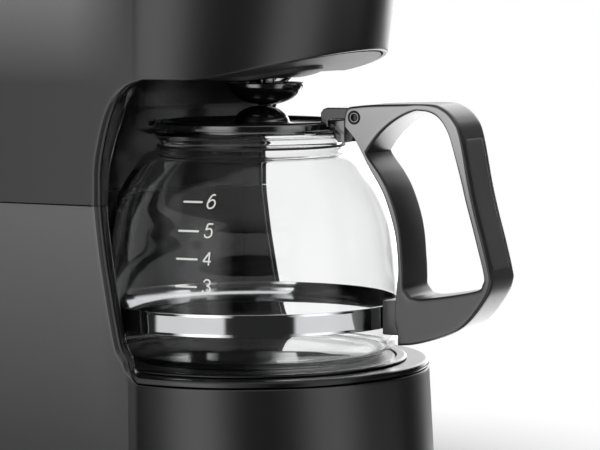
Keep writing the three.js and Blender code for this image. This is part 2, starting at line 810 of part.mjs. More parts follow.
function waterTank() {
  const rim = deckTop + seatGap;
  const nippleLow = tankBottom - nippleLength;
  const outer = join(
    raised( tankOutline( tankFrontY, 0 ), [ tankBottom, rim ] ),
    raised( tankOutline( tankUpperFrontY, 0 ), [ tankStepHeight, rim ] ),
    raised( tankOutline( tankUpperFrontY, - thinWall ), [ rim, rim + flangeThickness ] ),
    post( nippleX, nippleY, [ nippleLow, tankBottom + thinWall ], nippleRadius ) );
  const inner = join(
    raised( tankOutline( tankFrontY, thinWall ), [ tankBottom + thinWall, rim + overrun ] ),
    raised( tankOutline( tankUpperFrontY, thinWall ), [ tankStepHeight + thinWall, rim + overrun ] ),
    post( nippleX, nippleY, [ nippleLow - overrun, tankBottom + overrun ], nippleBore ) );
  return cut( outer, inner );
}

function topDeck() {
  const bottom = deckTop - deckThickness;
  const reach = columnRear + overrun;
  const slab = box( [ - reach, reach ], [ - reach, reach ], [ bottom, deckTop ] );
  const plate = common( hoodBlock( bottom - overrun, deckTop + overrun, wall + seatGap ), slab );
  const through = [ bottom - overrun, deckTop + overrun ];
  return cut( plate,
    post( 0, filterCentreY, through, holderTopRadius + seatGap, roundSides ),
    raised( tankOutline( tankUpperFrontY, - seatGap ), through ),
    post( spoutX, spoutY, through, spoutRadius + seatGap ) );
}

// Filter holder, basket and drip valve

// Cone with a guide for the valve's stem below it and a flange on the deck
function filterHolder() {
  const rim = deckTop + seatGap;
  const top = rim + flangeThickness;
  const spoutLow = ceiling + guideRise;
  const slope = holderTaper / ( rim - holderWallLevel );
  const innerTop = holderTopRadius - thinWall;
  const innerLow = innerTop - slope * ( top - holderWallLevel );
  return turned( [
    [ valveBore, spoutLow ], [ funnelRadius, spoutLow ], [ funnelRadius, holderFloorLevel ],
    [ holderLowRadius, holderWallLevel ], [ holderTopRadius, rim ],
    [ holderTopRadius + holderFlange, rim ], [ holderTopRadius + holderFlange, top ],
    [ innerTop, top ], [ innerLow, holderWallLevel + thinWall ],
    [ funnelRadius + thinWall, seatLevel() ], [ valveBore, seatLevel() ], [ valveBore, spoutLow ],
  ], 0, filterCentreY );
}

function seatLevel() {
  return holderFloorLevel + thinWall;
}

function filterBasket() {
  const rim = deckTop + flangeThickness + seatGap * 2;
  const top = rim + flangeThickness;
  const inner = basketTopRadius - thinWall;
  const floor = basketLevel + thinWall;
  const ribInner = basketOutlet + thinWall;
  const ribOuter = basketLowRadius - thinWall;
  const ribHeights = [ floor - thinWall / 2, floor + basketRibHeight ];
  const rib = box( [ ribInner, ribOuter ], [ - basketRibWidth / 2, basketRibWidth / 2 ], ribHeights );
  const ribs = [];
  for ( let i = 0; i < basketRibCount; i ++ ) {
    ribs.push( rib.rotate( [ 0, 0, 360 * i / basketRibCount ] ).translate( 0, filterCentreY, 0 ) );
  }
  return join( ...ribs, turned( [
    [ basketOutlet, basketLevel ], [ basketLowRadius, basketLevel ], [ basketTopRadius, rim ],
    [ basketTopRadius + basketFlange, rim ], [ basketTopRadius + basketFlange, top ], [ inner, top ],
    [ basketLowRadius - thinWall, floor ], [ basketOutlet, floor ], [ basketOutlet, basketLevel ],
  ], 0, filterCentreY ) );
}

// Height of the bowl's underside, just above the carafe lid's dome
function bowlLevel() {
  return plateTop() + seatGap * 2 + carafeLidHigh - carafeLidDish + domeHeight;
}

function bowlTop() {
  return bowlLevel() + bowlHeight;
}

// Quarter ellipse from the middle of the bowl up to its rim
function bowlArc( radius, depth ) {
  return levels( 0, 1, bowlSteps ).map( ( turn ) => {
    const angle = Math.PI / 2 * turn;
    return [ radius * Math.sin( angle ), bowlTop() - depth * Math.cos( angle ) ];
  } );
}

// Bowl that the carafe's lid lifts, on a ribbed stem with a disc above the seat
function dripValve() {
  const low = bowlLevel() + bowlWall / 2;
  const discLow = seatLevel() + valveTravel + valveSealHeight + seatGap * 2;
  const inside = bowlArc( bowlRadius - bowlWall, bowlHeight - bowlWall ).reverse();
  const bowl = [ ...bowlArc( bowlRadius, bowlHeight ), ...inside ];
  const across = [ - stemRadius, stemRadius ];
  const thick = [ - stemRibWidth / 2, stemRibWidth / 2 ];
  const rib = box( across, thick, [ low, discLow + valveDiscHeight / 2 ] );
  return join(
    turned( bowl, 0, filterCentreY, roundSides / 2 ),
    post( 0, filterCentreY, [ low, bowlTop() + seatGap ], bowlHubRadius ),
    ...[ 0, 90 ].map( ( turn ) => rib.rotate( [ 0, 0, turn ] ).translate( 0, filterCentreY, 0 ) ),
    post( 0, filterCentreY, [ discLow, discLow + valveDiscHeight ], valveDiscRadius ) );
}

function valveSeal() {
  const low = seatLevel() + valveTravel + seatGap;
  const span = [ low, low + valveSealHeight ];
  return ring( stemRadius + seatGap, valveDiscRadius, span, 0, filterCentreY, smallSides );
}

// Helical tube: one unbroken spring round its axis from z0 to z1
function helix( radius, wire, curls, [ z0, z1 ] ) {
  const stepsPerCurl = 8;
  const sides = 5;
  const climb = z1 - z0 - 2 * wire;
  const rings = levels( 0, 1, curls * stepsPerCurl ).map( ( share ) => {
    const turn = 2 * Math.PI * curls * share;
    const rise = z0 + wire + climb * share;
    const points = [];
    for ( let i = 0; i < sides; i ++ ) {
      const angle = 2 * Math.PI * i / sides;
      const out = radius + wire * Math.cos( angle );
      const z = rise + wire * Math.sin( angle );
      points.push( new THREE.Vector3( out * Math.cos( turn ), out * Math.sin( turn ), z ) );
    }
    return points;
  } );
  const gap = leastGap( rings, stepsPerCurl, climb / curls );
  console.log( `least gap between curls ${ gap.toFixed( 2 ) } mm` );
  return loft( rings );
}

// Least distance between points of rings that lie about one curl or more apart
function leastGap( rings, stepsPerCurl, pitch ) {
  let least = pitch;
  rings.forEach( ( near, i ) => {
    for ( const far of rings.slice( i + stepsPerCurl - 1 ) ) {
      for ( const a of near ) for ( const b of far ) least = Math.min( least, a.distanceTo( b ) );
    }
  } );
  return least;
}

function valveSpring() {
  const span = [ bowlTop() + seatGap * 2, ceiling + guideRise - seatGap ];
  return helix( springRadius, springWire, springCurls, span ).translate( 0, filterCentreY, 0 );
}

// Heater under the hotplate

function plateTop() {
  return baseHeight + plateRise;
}

function hotplate() {
  const top = plateTop();
  const under = top - plateThickness;
  const inner = plateRadius - plateThickness;
  const plate = turned( [
    [ 0, under ], [ inner, under ], [ inner, top - plateSkirt ],
    [ plateRadius, top - plateSkirt ], [ plateRadius, top - plateThickness / 2 ],
    [ plateRadius - plateThickness / 2, top ], [ 0, top ],
  ] );
  return join( plate, post( 0, 0, [ under - studLength, under + plateThickness / 2 ], studRadius ) );
}

function plateSeal() {
  const inner = plateRadius + seatGap;
  const neck = plateRadius + thinWall - seatGap;
  const low = baseHeight - plateSealDrop;
  const top = plateTop() + seatGap;
  return turned( [
    [ inner, low ], [ neck, low ], [ neck, baseHeight + seatGap ],
    [ plateSealOuter, baseHeight + seatGap ], [ plateSealOuter - plateRise / 2, top ], [ inner, top ],
    [ inner, low ],
  ] );
}

// Horseshoe path: round the front, with straight tails towards the rear
function horseshoe( bend, z ) {
  const angles = levels( 0, - Math.PI, horseshoePoints );
  const arc = angles.map( ( angle ) => [ bend * Math.cos( angle ), bend * Math.sin( angle ), z ] );
  return [ [ bend, heaterTail, z ], ...arc, [ - bend, heaterTail, z ] ];
}

// Level of the middle of a tube that lies against the plate's underside
function tubeLevel( radius ) {
  return plateTop() - plateThickness - seatGap - radius;
}

function heaterSheath() {
  const path = horseshoe( heaterBend, tubeLevel( heaterSheathRadius ) );
  return tube( path, heaterSheathRadius, horseshoeSteps );
}

function waterTube() {
  const path = horseshoe( waterTubeBend, tubeLevel( waterTubeRadius ) );
  return tube( path, waterTubeRadius, horseshoeSteps, hoseBore );
}

function clampTop() {
  return tubeLevel( waterTubeRadius ) - waterTubeRadius - seatGap;
}

function heaterClamp() {
  const top = clampTop();
  const across = [ - clampLength / 2, clampLength / 2 ];
  const plate = box( across, [ - clampWidth / 2, clampWidth / 2 ], [ top - clampThickness, top ] );
  return cut( plate, post( 0, 0, [ top - overrun, top + overrun ], studRadius + seatGap ) );
}

function clampNut() {
  const top = clampTop() - clampThickness - seatGap;
  const nut = post( 0, 0, [ top - nutHeight, top ], nutAcross / Math.sqrt( 3 ), 6 );
  return cut( nut, post( 0, 0, [ top - overrun, top + overrun ], studRadius + seatGap ) );
}

function thermostat() {
  const top = plateTop() - plateThickness - seatGap;
  const low = top - thermostatHeight;
  const half = thermostatRadius / 4;
  const middle = [ thermostatY - half, thermostatY + half ];
  const upright = [ low - thermostatPinLength, low + thermostatHeight / 2 ];
  const pins = bothSides( ( side ) => {
    const x = side * thermostatRadius / 2;
    return box( [ x - half / 2, x + half / 2 ], middle, upright );
  } );
  return join( post( 0, thermostatY, [ low, top ], thermostatRadius ), ...pins );
}

function thermalFuse() {
  const z = tubeLevel( heaterSheathRadius ) - heaterSheathRadius - seatGap - fuseRadius;
  return rod( - heaterBend, z, [ - fuseLength / 2, fuseLength / 2 ], fuseRadius );
}

// Hoses

function coldHose() {
  const z = tubeLevel( waterTubeRadius );
  const end = checkValveLevel() - seatGap;
  const low = end - hoseRadius * 2;
  return tube( [
    [ - waterTubeBend, heaterTail + seatGap, z ], [ - waterTubeBend, heaterTail + hoseRadius, z - seatGap ],
    [ - waterTubeBend, heaterTail * 2, low ],
    [ ( nippleX - waterTubeBend ) / 2, nippleY - hoseRadius * 4, low - hoseRadius ],
    [ nippleX, nippleY - seatGap, low ], [ nippleX, nippleY, end ],
  ], hoseRadius, hoseSteps, hoseBore );
}

function checkValveLevel() {
  return tankBottom - nippleLength - seatGap - valveBodyLength;
}

// Housing of the check valve, with its seat inside the bore
function checkValve() {
  const low = checkValveLevel();
  const high = low + valveBodyLength;
  const step = hoseRadius / 2;
  return turned( [
    [ hoseBore, low ], [ hoseRadius, low ],
    [ valveBodyRadius, low + step ], [ valveBodyRadius, high - step ],
    [ hoseRadius, high ], [ hoseBore, high ],
    [ nippleBore, high - step ], [ nippleBore, low + step ], [ hoseBore, low ],
  ], nippleX, nippleY, smallSides );
}

// Hose from the heater up the right cheek and over to the outlet spout
function riserHose() {
  const z = tubeLevel( waterTubeRadius );
  const low = z - hoseRadius * 2;
  const end = spoutLevel() - seatGap;
  const bend = hoseRadius * 3;
  return tube( [
    [ waterTubeBend, heaterTail + seatGap, z ], [ waterTubeBend, heaterTail + hoseRadius, z - seatGap ],
    [ waterTubeBend + hoseRadius, heaterTail + hoseRadius * 3, low ],
    [ riserX - hoseRadius, riserY - hoseRadius, low - seatGap ],
    [ riserX, riserY, low + bend ], [ riserX, riserY, ceiling ], [ riserX, riserY, end - bend * 2 ],
    [ ( riserX + spoutX ) / 2, ( riserY + spoutY ) / 2, end - bend ],
    [ spoutX, spoutY, end - hoseRadius ], [ spoutX, spoutY, end ],
  ], hoseRadius, riserSteps, hoseBore );
}

function spoutLevel() {
  return deckTop - deckThickness - spoutLength / 2;
}

function outletSpout() {
  const low = spoutLevel();
  const collarLow = deckTop + seatGap;
  return cut( join(
    post( spoutX, spoutY, [ low, low + spoutLength ], spoutRadius ),
    post( spoutX, spoutY, [ collarLow, collarLow + flangeThickness ], spoutCollarRadius ),
  ), post( spoutX, spoutY, [ low - overrun, low + overrun * 2 ], hoseBore ) );
}

// Power switch on the right of the base, in a frame whose +X points out of the wall

function switchFace() {
  return baseRadius - switchRecess;
}

// Block centred on the switch, with half its size across and upright
function switchBlock( depth, halfLength, halfHeight ) {
  const heights = [ switchHeight - halfHeight, switchHeight + halfHeight ];
  return box( depth, [ - halfLength, halfLength ], heights );
}

function switchOpening() {
  const face = switchFace();
  const beyond = [ face, face + overrun ];
  const seat = switchBlock( beyond, switchLength / 2 + seatGap, switchWidth / 2 + seatGap );
  const halfLength = switchWindow / 2 + switchRim;
  const halfHeight = switchWindowHeight / 2 + switchRim;
  const window = switchBlock( [ face - overrun, face + overrun ], halfLength, halfHeight );
  return join( seat, window ).rotate( [ 0, 0, THREE.MathUtils.radToDeg( switchAzimuth ) ] );
}

function switchBezel() {
  const back = switchFace() + seatGap;
  const halfLength = switchWindow / 2 + switchRim - seatGap;
  const halfHeight = switchWindowHeight / 2 + switchRim - seatGap;
  const flange = switchBlock( [ back, back + switchFlange ], switchLength / 2, switchWidth / 2 );
  const can = switchBlock( [ back - switchDepth, back + switchFlange / 2 ], halfLength, halfHeight );
  const floor = back - switchDepth + thinWall;
  const well = switchBlock( [ floor, back + overrun ], switchWindow / 2, switchWindowHeight / 2 );
  return cut( join( flange, can ), well );
}

// Rocker about a vertical axis, drawn level
function rocker() {
  const half = switchWindow / 2 - rockerGap;
  const back = rockerProud - rockerThickness;
  const shoulder = rockerProud - rockerThickness / 2;
  const halfHeight = switchWindowHeight / 2 - seatGap;
  return raised( [
    [ rockerProud, - half ], [ rockerProud - rockerValley, 0 ], [ rockerProud, half ], [ shoulder, half ],
    [ back, half / 3 ], [ back, - half / 3 ], [ shoulder, - half ],
  ], [ - halfHeight, halfHeight ] );
}

// Cylinder along Y at the cord inlet
function alongRear( radius, [ y0, y1 ] ) {
  const geometry = new THREE.CylinderGeometry( radius, radius, y1 - y0, smallSides );
  geometry.translate( glandX, ( y0 + y1 ) / 2, glandHeight );
  return solid( geometry );
}

// Cord inlet in the rear wall, held by a flange on each side
function cordGland() {
  const inner = columnRear - wall;
  const outer = columnRear + glandFlange;
  const wide = glandRadius + glandFlangeWidth;
  return cut( join(
    alongRear( glandRadius, [ inner - glandFlange, outer ] ),
    alongRear( wide, [ columnRear + seatGap, outer ] ),
    alongRear( wide, [ inner - glandFlange, inner - seatGap ] ),
  ), alongRear( glandBore, [ inner - overrun, outer + overrun ] ) );
}

// Bottom cover, screws and feet

function screwPlaces() {
  const frontX = baseRadius - screwFrontInset;
  const rearX = columnHalfWidth - screwSideInset;
  const rearY = columnRear - screwRearInset;
  return bothSides( ( side ) => [ [ side * frontX, screwFrontY ], [ side * rearX, rearY ] ] ).flat();
}

function footPlaces() {
  const frontX = footFrontReach * Math.sin( footFrontAzimuth );
  const frontY = - footFrontReach * Math.cos( footFrontAzimuth );
  const rearX = columnHalfWidth - footRearInset;
  const rearY = columnRear - footRearInset;
  return bothSides( ( side ) => [ [ side * frontX, frontY ], [ side * rearX, rearY ] ] ).flat();
}

function postSpan() {
  const low = coverBottom + coverThickness + seatGap;
  return [ low, low + postHeight ];
}

function screwTip() {
  return coverBottom - seatGap + screwLength;
}

function bottomCover() {
  const reach = columnRear + overrun;
  const slab = box( [ - reach, reach ], [ - reach, reach ], [ coverBottom, coverBottom + coverThickness ] );
  const through = [ coverBottom - overrun, coverBottom + overrun ];
  const holes = [
    ...screwPlaces().map( ( [ x, y ] ) => post( x, y, through, screwShankRadius + seatGap ) ),
    ...footPlaces().map( ( [ x, y ] ) => post( x, y, through, footPlugRadius + seatGap ) ),
  ];
  for ( let i = 0; i < ventCount; i ++ ) {
    const y = ventPitch * ( i - ( ventCount - 1 ) / 2 );
    const across = [ y - ventWidth / 2, y + ventWidth / 2 ];
    holes.push( box( [ - ventLength / 2, ventLength / 2 ], across, through ) );
  }
  return cut( common( slab, baseBlock( - overrun, overrun, wall + seatGap ) ), ...holes );
}

function coverScrew() {
  const headTop = coverBottom - seatGap;
  return join(
    post( 0, 0, [ headTop - screwHeadHeight, headTop ], screwHeadRadius ),
    post( 0, 0, [ headTop - screwHeadHeight / 2, screwTip() - seatGap ], screwShankRadius ) );
}

function foot() {
  const top = coverBottom - seatGap;
  const plugTop = coverBottom + coverThickness;
  const narrow = footRadius - footRounding;
  return turned( [
    [ 0, 0 ], [ narrow, 0 ], [ footRadius, footRounding ], [ narrow, top ],
    [ footPlugRadius, top ], [ footPlugRadius, plugTop ], [ 0, plugTop ],
  ], 0, 0, smallSides );
}

// Top lid, its pin and the water shower under it

// Lid barrels between the ears, each with a web to the lid's top skin
function lidBarrels() {
  const [ y, z ] = hingeAxis();
  const webTop = z + hingeRadius * Math.cos( Math.PI / smallSides );
  const near = middleEarHalf + seatGap;
  const far = sideEarInner - seatGap;
  return [ [ near, far ], [ - far, - near ] ].map( ( span ) => join(
    rod( y, z, span, hingeRadius ),
    box( span, [ y - lidRearCut - lidSkin, y ], [ z, webTop ] ),
  ) );
}

// Room in the lid for the ears of the rear strip
function earRooms() {
  const [ y, z ] = hingeAxis();
  const wide = columnHalfWidth + overrun;
  const middle = middleEarHalf + seatGap;
  const side = sideEarInner - seatGap;
  const spans = [ [ - middle, middle ], [ side, wide ], [ - wide, - side ] ];
  return spans.map( ( span ) => rod( y, z, span, hingeRadius + seatGap * 3 ) );
}

// Tab at the front of the lid for the finger
function lidTab( low ) {
  const front = hoodCentreY - hoodDepthLow;
  const reach = [ front - hoodOverhang - lidTabReach, front ];
  const block = box( [ - lidTabWidth / 2, lidTabWidth / 2 ], reach, [ low, low + lidTabThickness ] );
  return common( block, hoodBlock( low - overrun, bodyTop, - lidTabReach ) );
}

function topLid() {
  const low = bodyHeight + seatGap;
  const outer = loft( [
    hoodRing( low ), hoodRing( bodyTop - lidRounding ),
    hoodRing( bodyTop - lidRounding / 2, lidRounding / 6 ),
    hoodRing( bodyTop - lidRounding / 6, lidRounding / 2 ), hoodRing( bodyTop, lidRounding ),
  ] );
  const inner = hoodBlock( low - overrun, bodyTop - lidSkin, lidSkin );
  const [ y, z ] = hingeAxis();
  const wide = columnHalfWidth + overrun;
  const behind = [ y - lidRearCut, columnRear + overrun ];
  const rear = box( [ - wide, wide ], behind, [ low - overrun, bodyTop + overrun ] );
  const shell = cut( join( outer, lidTab( low ) ), inner, rear );
  const bore = rod( y, z, [ - wide, wide ], hingeBoreRadius() );
  return cut( join( shell, ...lidBarrels() ), ...earRooms(), bore );
}

function lidPin() {
  const [ y, z ] = hingeAxis();
  return rod( y, z, [ - hingeHalfLength, hingeHalfLength - wall ], hingePinRadius );
}

// Shallow dish with drip holes, and an arm that reaches over the outlet spout
function lidShower() {
  const top = bodyTop - lidSkin - seatGap;
  const low = top - showerDepth;
  const armLow = top - showerDepth / 2;
  const reach = Math.hypot( spoutX, spoutY - filterCentreY );
  const armTurn = THREE.MathUtils.radToDeg( Math.atan2( spoutY - filterCentreY, spoutX ) );
  const half = showerArmWidth / 2;
  const inner = half - showerPlate;
  const arm = box( [ showerRadius - showerPlate, reach ], [ - half, half ], [ armLow, top ] );
  const channel = box( [ 0, reach ], [ - inner, inner ], [ armLow + showerPlate, top + overrun ] );
  const laid = ( piece ) => piece.rotate( [ 0, 0, armTurn ] ).translate( 0, filterCentreY, 0 );
  const through = [ low - overrun, top + overrun ];
  const holes = [];
  for ( let i = 0; i < showerHoleCount; i ++ ) {
    const angle = 2 * Math.PI * i / showerHoleCount;
    const x = showerRadius / 2 * Math.cos( angle );
    const y = filterCentreY + showerRadius / 2 * Math.sin( angle );
    holes.push( post( x, y, through, showerHoleRadius, tubeSides ) );
  }
  return cut( join(
    ring( showerRadius - showerPlate, showerRadius, [ low, top ], 0, filterCentreY ),
    post( 0, filterCentreY, [ low, low + showerPlate ], showerRadius, roundSides ),
    laid( arm ), post( spoutX, spoutY, [ armLow, top ], half ),
  ), laid( channel ), post( spoutX, spoutY, through, spoutRadius ), ...holes );
}

// Carafe, with heights measured from its underside

// Ring of the glass with a beak that pulls it out towards the rear
function glassRing( radius, z, pull = 0, inset = 0 ) {
  const points = [];
  for ( let i = 0; i < roundSides; i ++ ) {
    const angle = 2 * Math.PI * i / roundSides;
    const away = Math.abs( Math.atan2( Math.sin( angle - Math.PI / 2 ), Math.cos( angle - Math.PI / 2 ) ) );
    const reach = radius - inset + pull * Math.exp( - ( ( away / beakSpreadShare ) ** 2 ) );
    points.push( new THREE.Vector3( reach * Math.cos( angle ), reach * Math.sin( angle ), z ) );
  }
  return points;
}

function glassBody() {
  const pairs = glassCurveShares.map( ( [ out, up ] ) => [ out * glassBelly, up * glassNeckHeight ] );
  return smoothLine( pairs, glassSteps );
}

function carafeGlass() {
  const body = glassBody();
  const aboveFloor = ( [ r, z ] ) => [ r, Math.max( z, glassWall ) ];
  const inside = offsetLine( body, - glassWall ).reverse().map( aboveFloor );
  const neckEnd = glassNeckHeight + neckLength * neckEndShare;
  const mouthStart = glassNeckHeight + neckLength * mouthStartShare;
  const lipRadius = glassWall / 2;
  return loft( [
    glassRing( glassContact, 0 ), ...body.map( ( [ r, z ] ) => glassRing( r, z ) ),
    glassRing( glassNeck, glassNeckHeight ), glassRing( glassNeck, neckEnd ),
    glassRing( glassMouth - lipRadius, mouthStart, beakReach * beakStartShare ),
    glassRing( glassMouth, glassHeight - lipRadius, beakReach ),
    glassRing( glassMouth, glassHeight, beakReach ),
    glassRing( glassMouth, glassHeight, beakReach, glassWall ),
    glassRing( glassMouth - lipRadius, mouthStart, beakReach * beakStartShare, glassWall ),
    glassRing( glassNeck, neckEnd, 0, glassWall ),
    glassRing( glassNeck, glassNeckHeight - glassWall / 2, 0, glassWall ),
    ...inside.map( ( [ r, z ] ) => glassRing( r, z ) ),
    glassRing( glassContact, glassWall, 0, glassWall ),
  ] );
}

function carafeBand() {
  const inner = glassBelly + seatGap;
  const outer = inner + bandThickness;
  const high = bandBottom + bandHeight;
  const edge = bandThickness / 2;
  return turned( [
    [ inner, bandBottom ], [ outer - edge, bandBottom ], [ outer, bandBottom + edge ],
    [ outer, high - edge ], [ outer - edge, high ], [ inner, high ], [ inner, bandBottom ],
  ] );
}

function neckRing() {
  const inner = glassNeck + seatGap;
  const low = glassNeckHeight + seatGap;
  return ring( inner, inner + neckRingThickness, [ low, low + neckRingHeight ] );
}

// Places in the side view of the handle, as reach and height
function spanPoint( [ along, up ] ) {
  return [ blockInner + along * handleSpan, up * handleTop ];
}

function pinPoint( [ along, up ] ) {
  return [ pinReach + along * pinSpan, up * handleTop ];
}

// Outer edge from the pin end round to the lower block
function handleOuter() {
  return smoothLine( [
    [ pinReach - knuckleRadius * 4 / 3, pinHeight ],
    [ pinReach - knuckleRadius, pinHeight + knuckleRadius ],
    [ pinReach, handleTop - handleStrap / 2 ], ...handleOuterShares.map( spanPoint ),
  ], handleOuterSteps );
}

// Edge on the glass side, from the lower block up to the pin end
function handleInner() {
  return smoothLine( handleInnerShares.map( pinPoint ), handleInnerSteps );
}

// Finger opening
function handleOpening() {
  const near = smoothLine( openingNearShares.map( pinPoint ), openingNearSteps );
  const far = smoothLine( openingFarShares.map( spanPoint ), openingFarSteps );
  return [ ...near, ...far ];
}

// Reach is measured towards the front, so it counts against Y
function toFront( line ) {
  return line.map( ( [ reach, z ] ) => [ - reach, z ] );
}

function handleOutline() {
  return toFront( [ ...handleOuter(), ...handleInner() ] );
}

function handleBody() {
  const across = [ - handleWidth / 2, handleWidth / 2 ];
  return sideways( handleOutline(), across, [ toFront( handleOpening() ) ] );
}

// Space of the soft inlay in the back of the grip
function gripRoom( clearance ) {
  const half = gripWidth / 2 + clearance;
  const [ lowShare, highShare ] = gripSpanShares;
  const heights = [ handleTop * lowShare - clearance, handleTop * highShare + clearance ];
  const outer = toFront( handleOuter() ).filter( ( [ y, z ] ) => z > handleTop / 4 && y < - blockInner );
  const inside = offsetLine( outer, - gripThickness - clearance );
  const beyond = offsetLine( outer, overrun / 4 );
  const layer = sideways( [ ...inside, ...beyond.reverse() ], [ - half, half ] );
  const reach = [ - handleReach - overrun, - blockInner - handleSpan / 2 ];
  return common( layer, box( [ - half, half ], reach, heights ) );
}

function carafeHandle() {
  const half = handleWidth / 2;
  const room = knuckleRadius + seatGap * 2;
  const slotHalf = knuckleHalf + seatGap;
  const slotHeights = [ pinHeight - room, pinHeight + overrun ];
  const slot = box( [ - slotHalf, slotHalf ], [ - pinReach - room, 0 ], slotHeights );
  const bore = rod( - pinReach, pinHeight, [ - half - overrun, half + overrun ], pinRadius + seatGap );
  const sinks = bothSides( ( side ) => {
    const span = [ side * ( half - handleStrap / 2 ), side * ( half + overrun ) ];
    return rod( - pinReach, pinHeight, span, pinHeadRadius );
  } );
  const [ farShare, farHeightShare, nearHeightShare ] = pocketShares;
  const near = blockInner + pocketInset;
  const far = blockInner + handleSpan * farShare;
  const pocket = sideways( toFront( [
    [ near, - overrun ], [ far, - overrun ],
    [ far, handleTop * farHeightShare ], [ near, handleTop * nearHeightShare ],
  ] ), [ - pocketWidth / 2, pocketWidth / 2 ] );
  const screwBore = alongFront( [ blockInner - overrun, near + overrun / 4 ], bandScrewRadius + seatGap );
  return cut( handleBody(), slot, bore, ...sinks, gripRoom( seatGap ), pocket, screwBore );
}

function handleGrip() {
  return common( gripRoom( 0 ), handleBody() );
}

// Cylinder towards the front at the middle of the band
function alongFront( [ near, far ], radius ) {
  const geometry = new THREE.CylinderGeometry( radius, radius, far - near, smallSides );
  geometry.translate( 0, - ( near + far ) / 2, screwLevel );
  return solid( geometry );
}

// Saddle that carries the handle's lower block on the band
function handleBracket() {
  const inner = glassBelly + seatGap * 2 + bandThickness;
  const half = bracketWidth / 2;
  const depth = [ seatGap - blockInner, - inner / 2 ];
  const heights = [ screwLevel - bracketHalfHeight, screwLevel + bracketHalfHeight ];
  const block = box( [ - half, half ], depth, heights );
  const room = post( 0, 0, [ 0, glassHeight ], inner, roundSides * 2 );
  return cut( block, room, alongFront( [ 0, handleReach ], bandScrewRadius + seatGap ) );
}

function bandScrew() {
  const head = blockInner + pocketInset + seatGap;
  const start = glassBelly + seatGap * 3 + bandThickness;
  return join(
    alongFront( [ start, head + thinWall / 2 ], bandScrewRadius ),
    alongFront( [ head, head + thinWall ], bandScrewHead ) );
}

// Clip that hooks over the glass rim under the lid's arm
function neckClip() {
  const outline = [
    [ clipInner + thinWall, clipLow ], [ clipOuter, clipLow ], [ clipOuter, clipHigh ],
    [ clipInner - thinWall, clipHigh ], [ clipInner - thinWall, glassHeight + seatGap ],
    [ clipInner, glassHeight + seatGap ], [ clipInner, clipLow + thinWall ],
  ];
  const low = carafeLidLow - thinWall;
  const room = post( 0, 0, [ low, low + overrun ], carafeLidRadius + seatGap, roundSides * 2 );
  const handleRoom = sideways( handleOutline(), [ - handleWidth, handleWidth ] );
  return cut( sideways( toFront( outline ), [ - clipHalf, clipHalf ] ), room, handleRoom );
}

// Disc with a raised rim and a plug that hangs into the neck
function lidDisc() {
  const rimInner = carafeLidRadius - thinWall * 2;
  const dish = carafeLidHigh - carafeLidDish;
  const plugInner = carafeLidPlug - thinWall;
  const plugLow = carafeLidLow - carafeLidPlugDrop;
  const rounding = thinWall / 2;
  return turned( [
    [ 0, dish - thinWall ], [ plugInner, dish - thinWall ], [ plugInner, plugLow ],
    [ carafeLidPlug, plugLow ], [ carafeLidPlug, carafeLidLow ], [ carafeLidRadius, carafeLidLow ],
    [ carafeLidRadius, carafeLidHigh - rounding ], [ carafeLidRadius - rounding, carafeLidHigh ],
    [ rimInner, carafeLidHigh ], [ rimInner - thinWall, dish ], [ 0, dish ],
  ] );
}

// Dome that pushes the drip valve up
function lidDome() {
  const dish = carafeLidHigh - carafeLidDish;
  const arc = levels( 0, Math.PI / 2, domeSteps ).map( ( angle ) => {
    return [ domeRadius * Math.cos( angle ), dish + domeHeight * Math.sin( angle ) ];
  } );
  const profile = [ [ 0, dish - thinWall / 2 ], [ domeRadius, dish - thinWall / 2 ], ...arc ];
  return turned( profile, 0, - domeShift, roundSides / 2 );
}

function carafeLid() {
  const rimInner = carafeLidRadius - thinWall * 2;
  const armTop = pinHeight + knuckleRadius;
  const across = [ - lidArmHalf, lidArmHalf ];
  const beakHeights = [ carafeLidLow + seatGap, carafeLidLow + seatGap + lidBeakThickness ];
  const whole = join(
    lidDisc(), lidDome(),
    box( across, [ - pinReach, - rimInner + thinWall ], [ armTop - lidArmThickness, armTop ] ),
    box( across, [ - carafeLidRadius, - rimInner ], [ carafeLidLow + thinWall, armTop ] ),
    rod( - pinReach, pinHeight, across, knuckleRadius ),
    box( across, [ rimInner, carafeLidRadius + lidBeakLength ], beakHeights ) );
  return cut( whole, rod( - pinReach, pinHeight, [ - handleWidth, handleWidth ], pinRadius + seatGap ) );
}

function carafePin() {
  const half = handleWidth / 2 - handleStrap / 3;
  return rod( - pinReach, pinHeight, [ - half, half ], pinRadius );
}

// Scene

const group = new THREE.Group();
group.name = 'drip_coffee_maker';

function geometryOf( body ) {
  const { vertProperties, triVerts } = body.getMesh();
  const geometry = new THREE.BufferGeometry();
  geometry.setAttribute( 'position', new THREE.BufferAttribute( new Float32Array( vertProperties ), 3 ) );
  geometry.setIndex( new THREE.BufferAttribute( new Uint32Array( triVerts ), 1 ) );
  geometry.computeVertexNormals();
  return geometry;
}

function place( parent, name, body, look ) {
  const mesh = new THREE.Mesh( geometryOf( body ), new THREE.MeshStandardMaterial( look ) );
  mesh.name = name;
  parent.add( mesh );
  return mesh;
}

// Body
const liner = bayLiner();
place( group, 'lower_shell', lowerShell(), blackPlastic );
place( group, 'upper_shell', upperShell(), blackPlastic );
place( group, 'bay_liner', common( liner, belowSeam() ), glossPlastic );
place( group, 'bay_liner_upper', common( liner, aboveSeam() ), glossPlastic );
place( group, 'underside_plate', undersidePlate(), darkPlastic );
place( group, 'bottom_cover', bottomCover(), darkPlastic );
place( group, 'cord_gland', cordGland(), blackRubber );
screwPlaces().forEach( ( [ x, y ], i ) => {
  place( group, `cover_screw_${ i + 1 }`, coverScrew(), steel ).position.set( x, y, 0 );
} );
footPlaces().forEach( ( [ x, y ], i ) => {
  place( group, `foot_${ i + 1 }`, foot(), blackRubber ).position.set( x, y, 0 );
} );

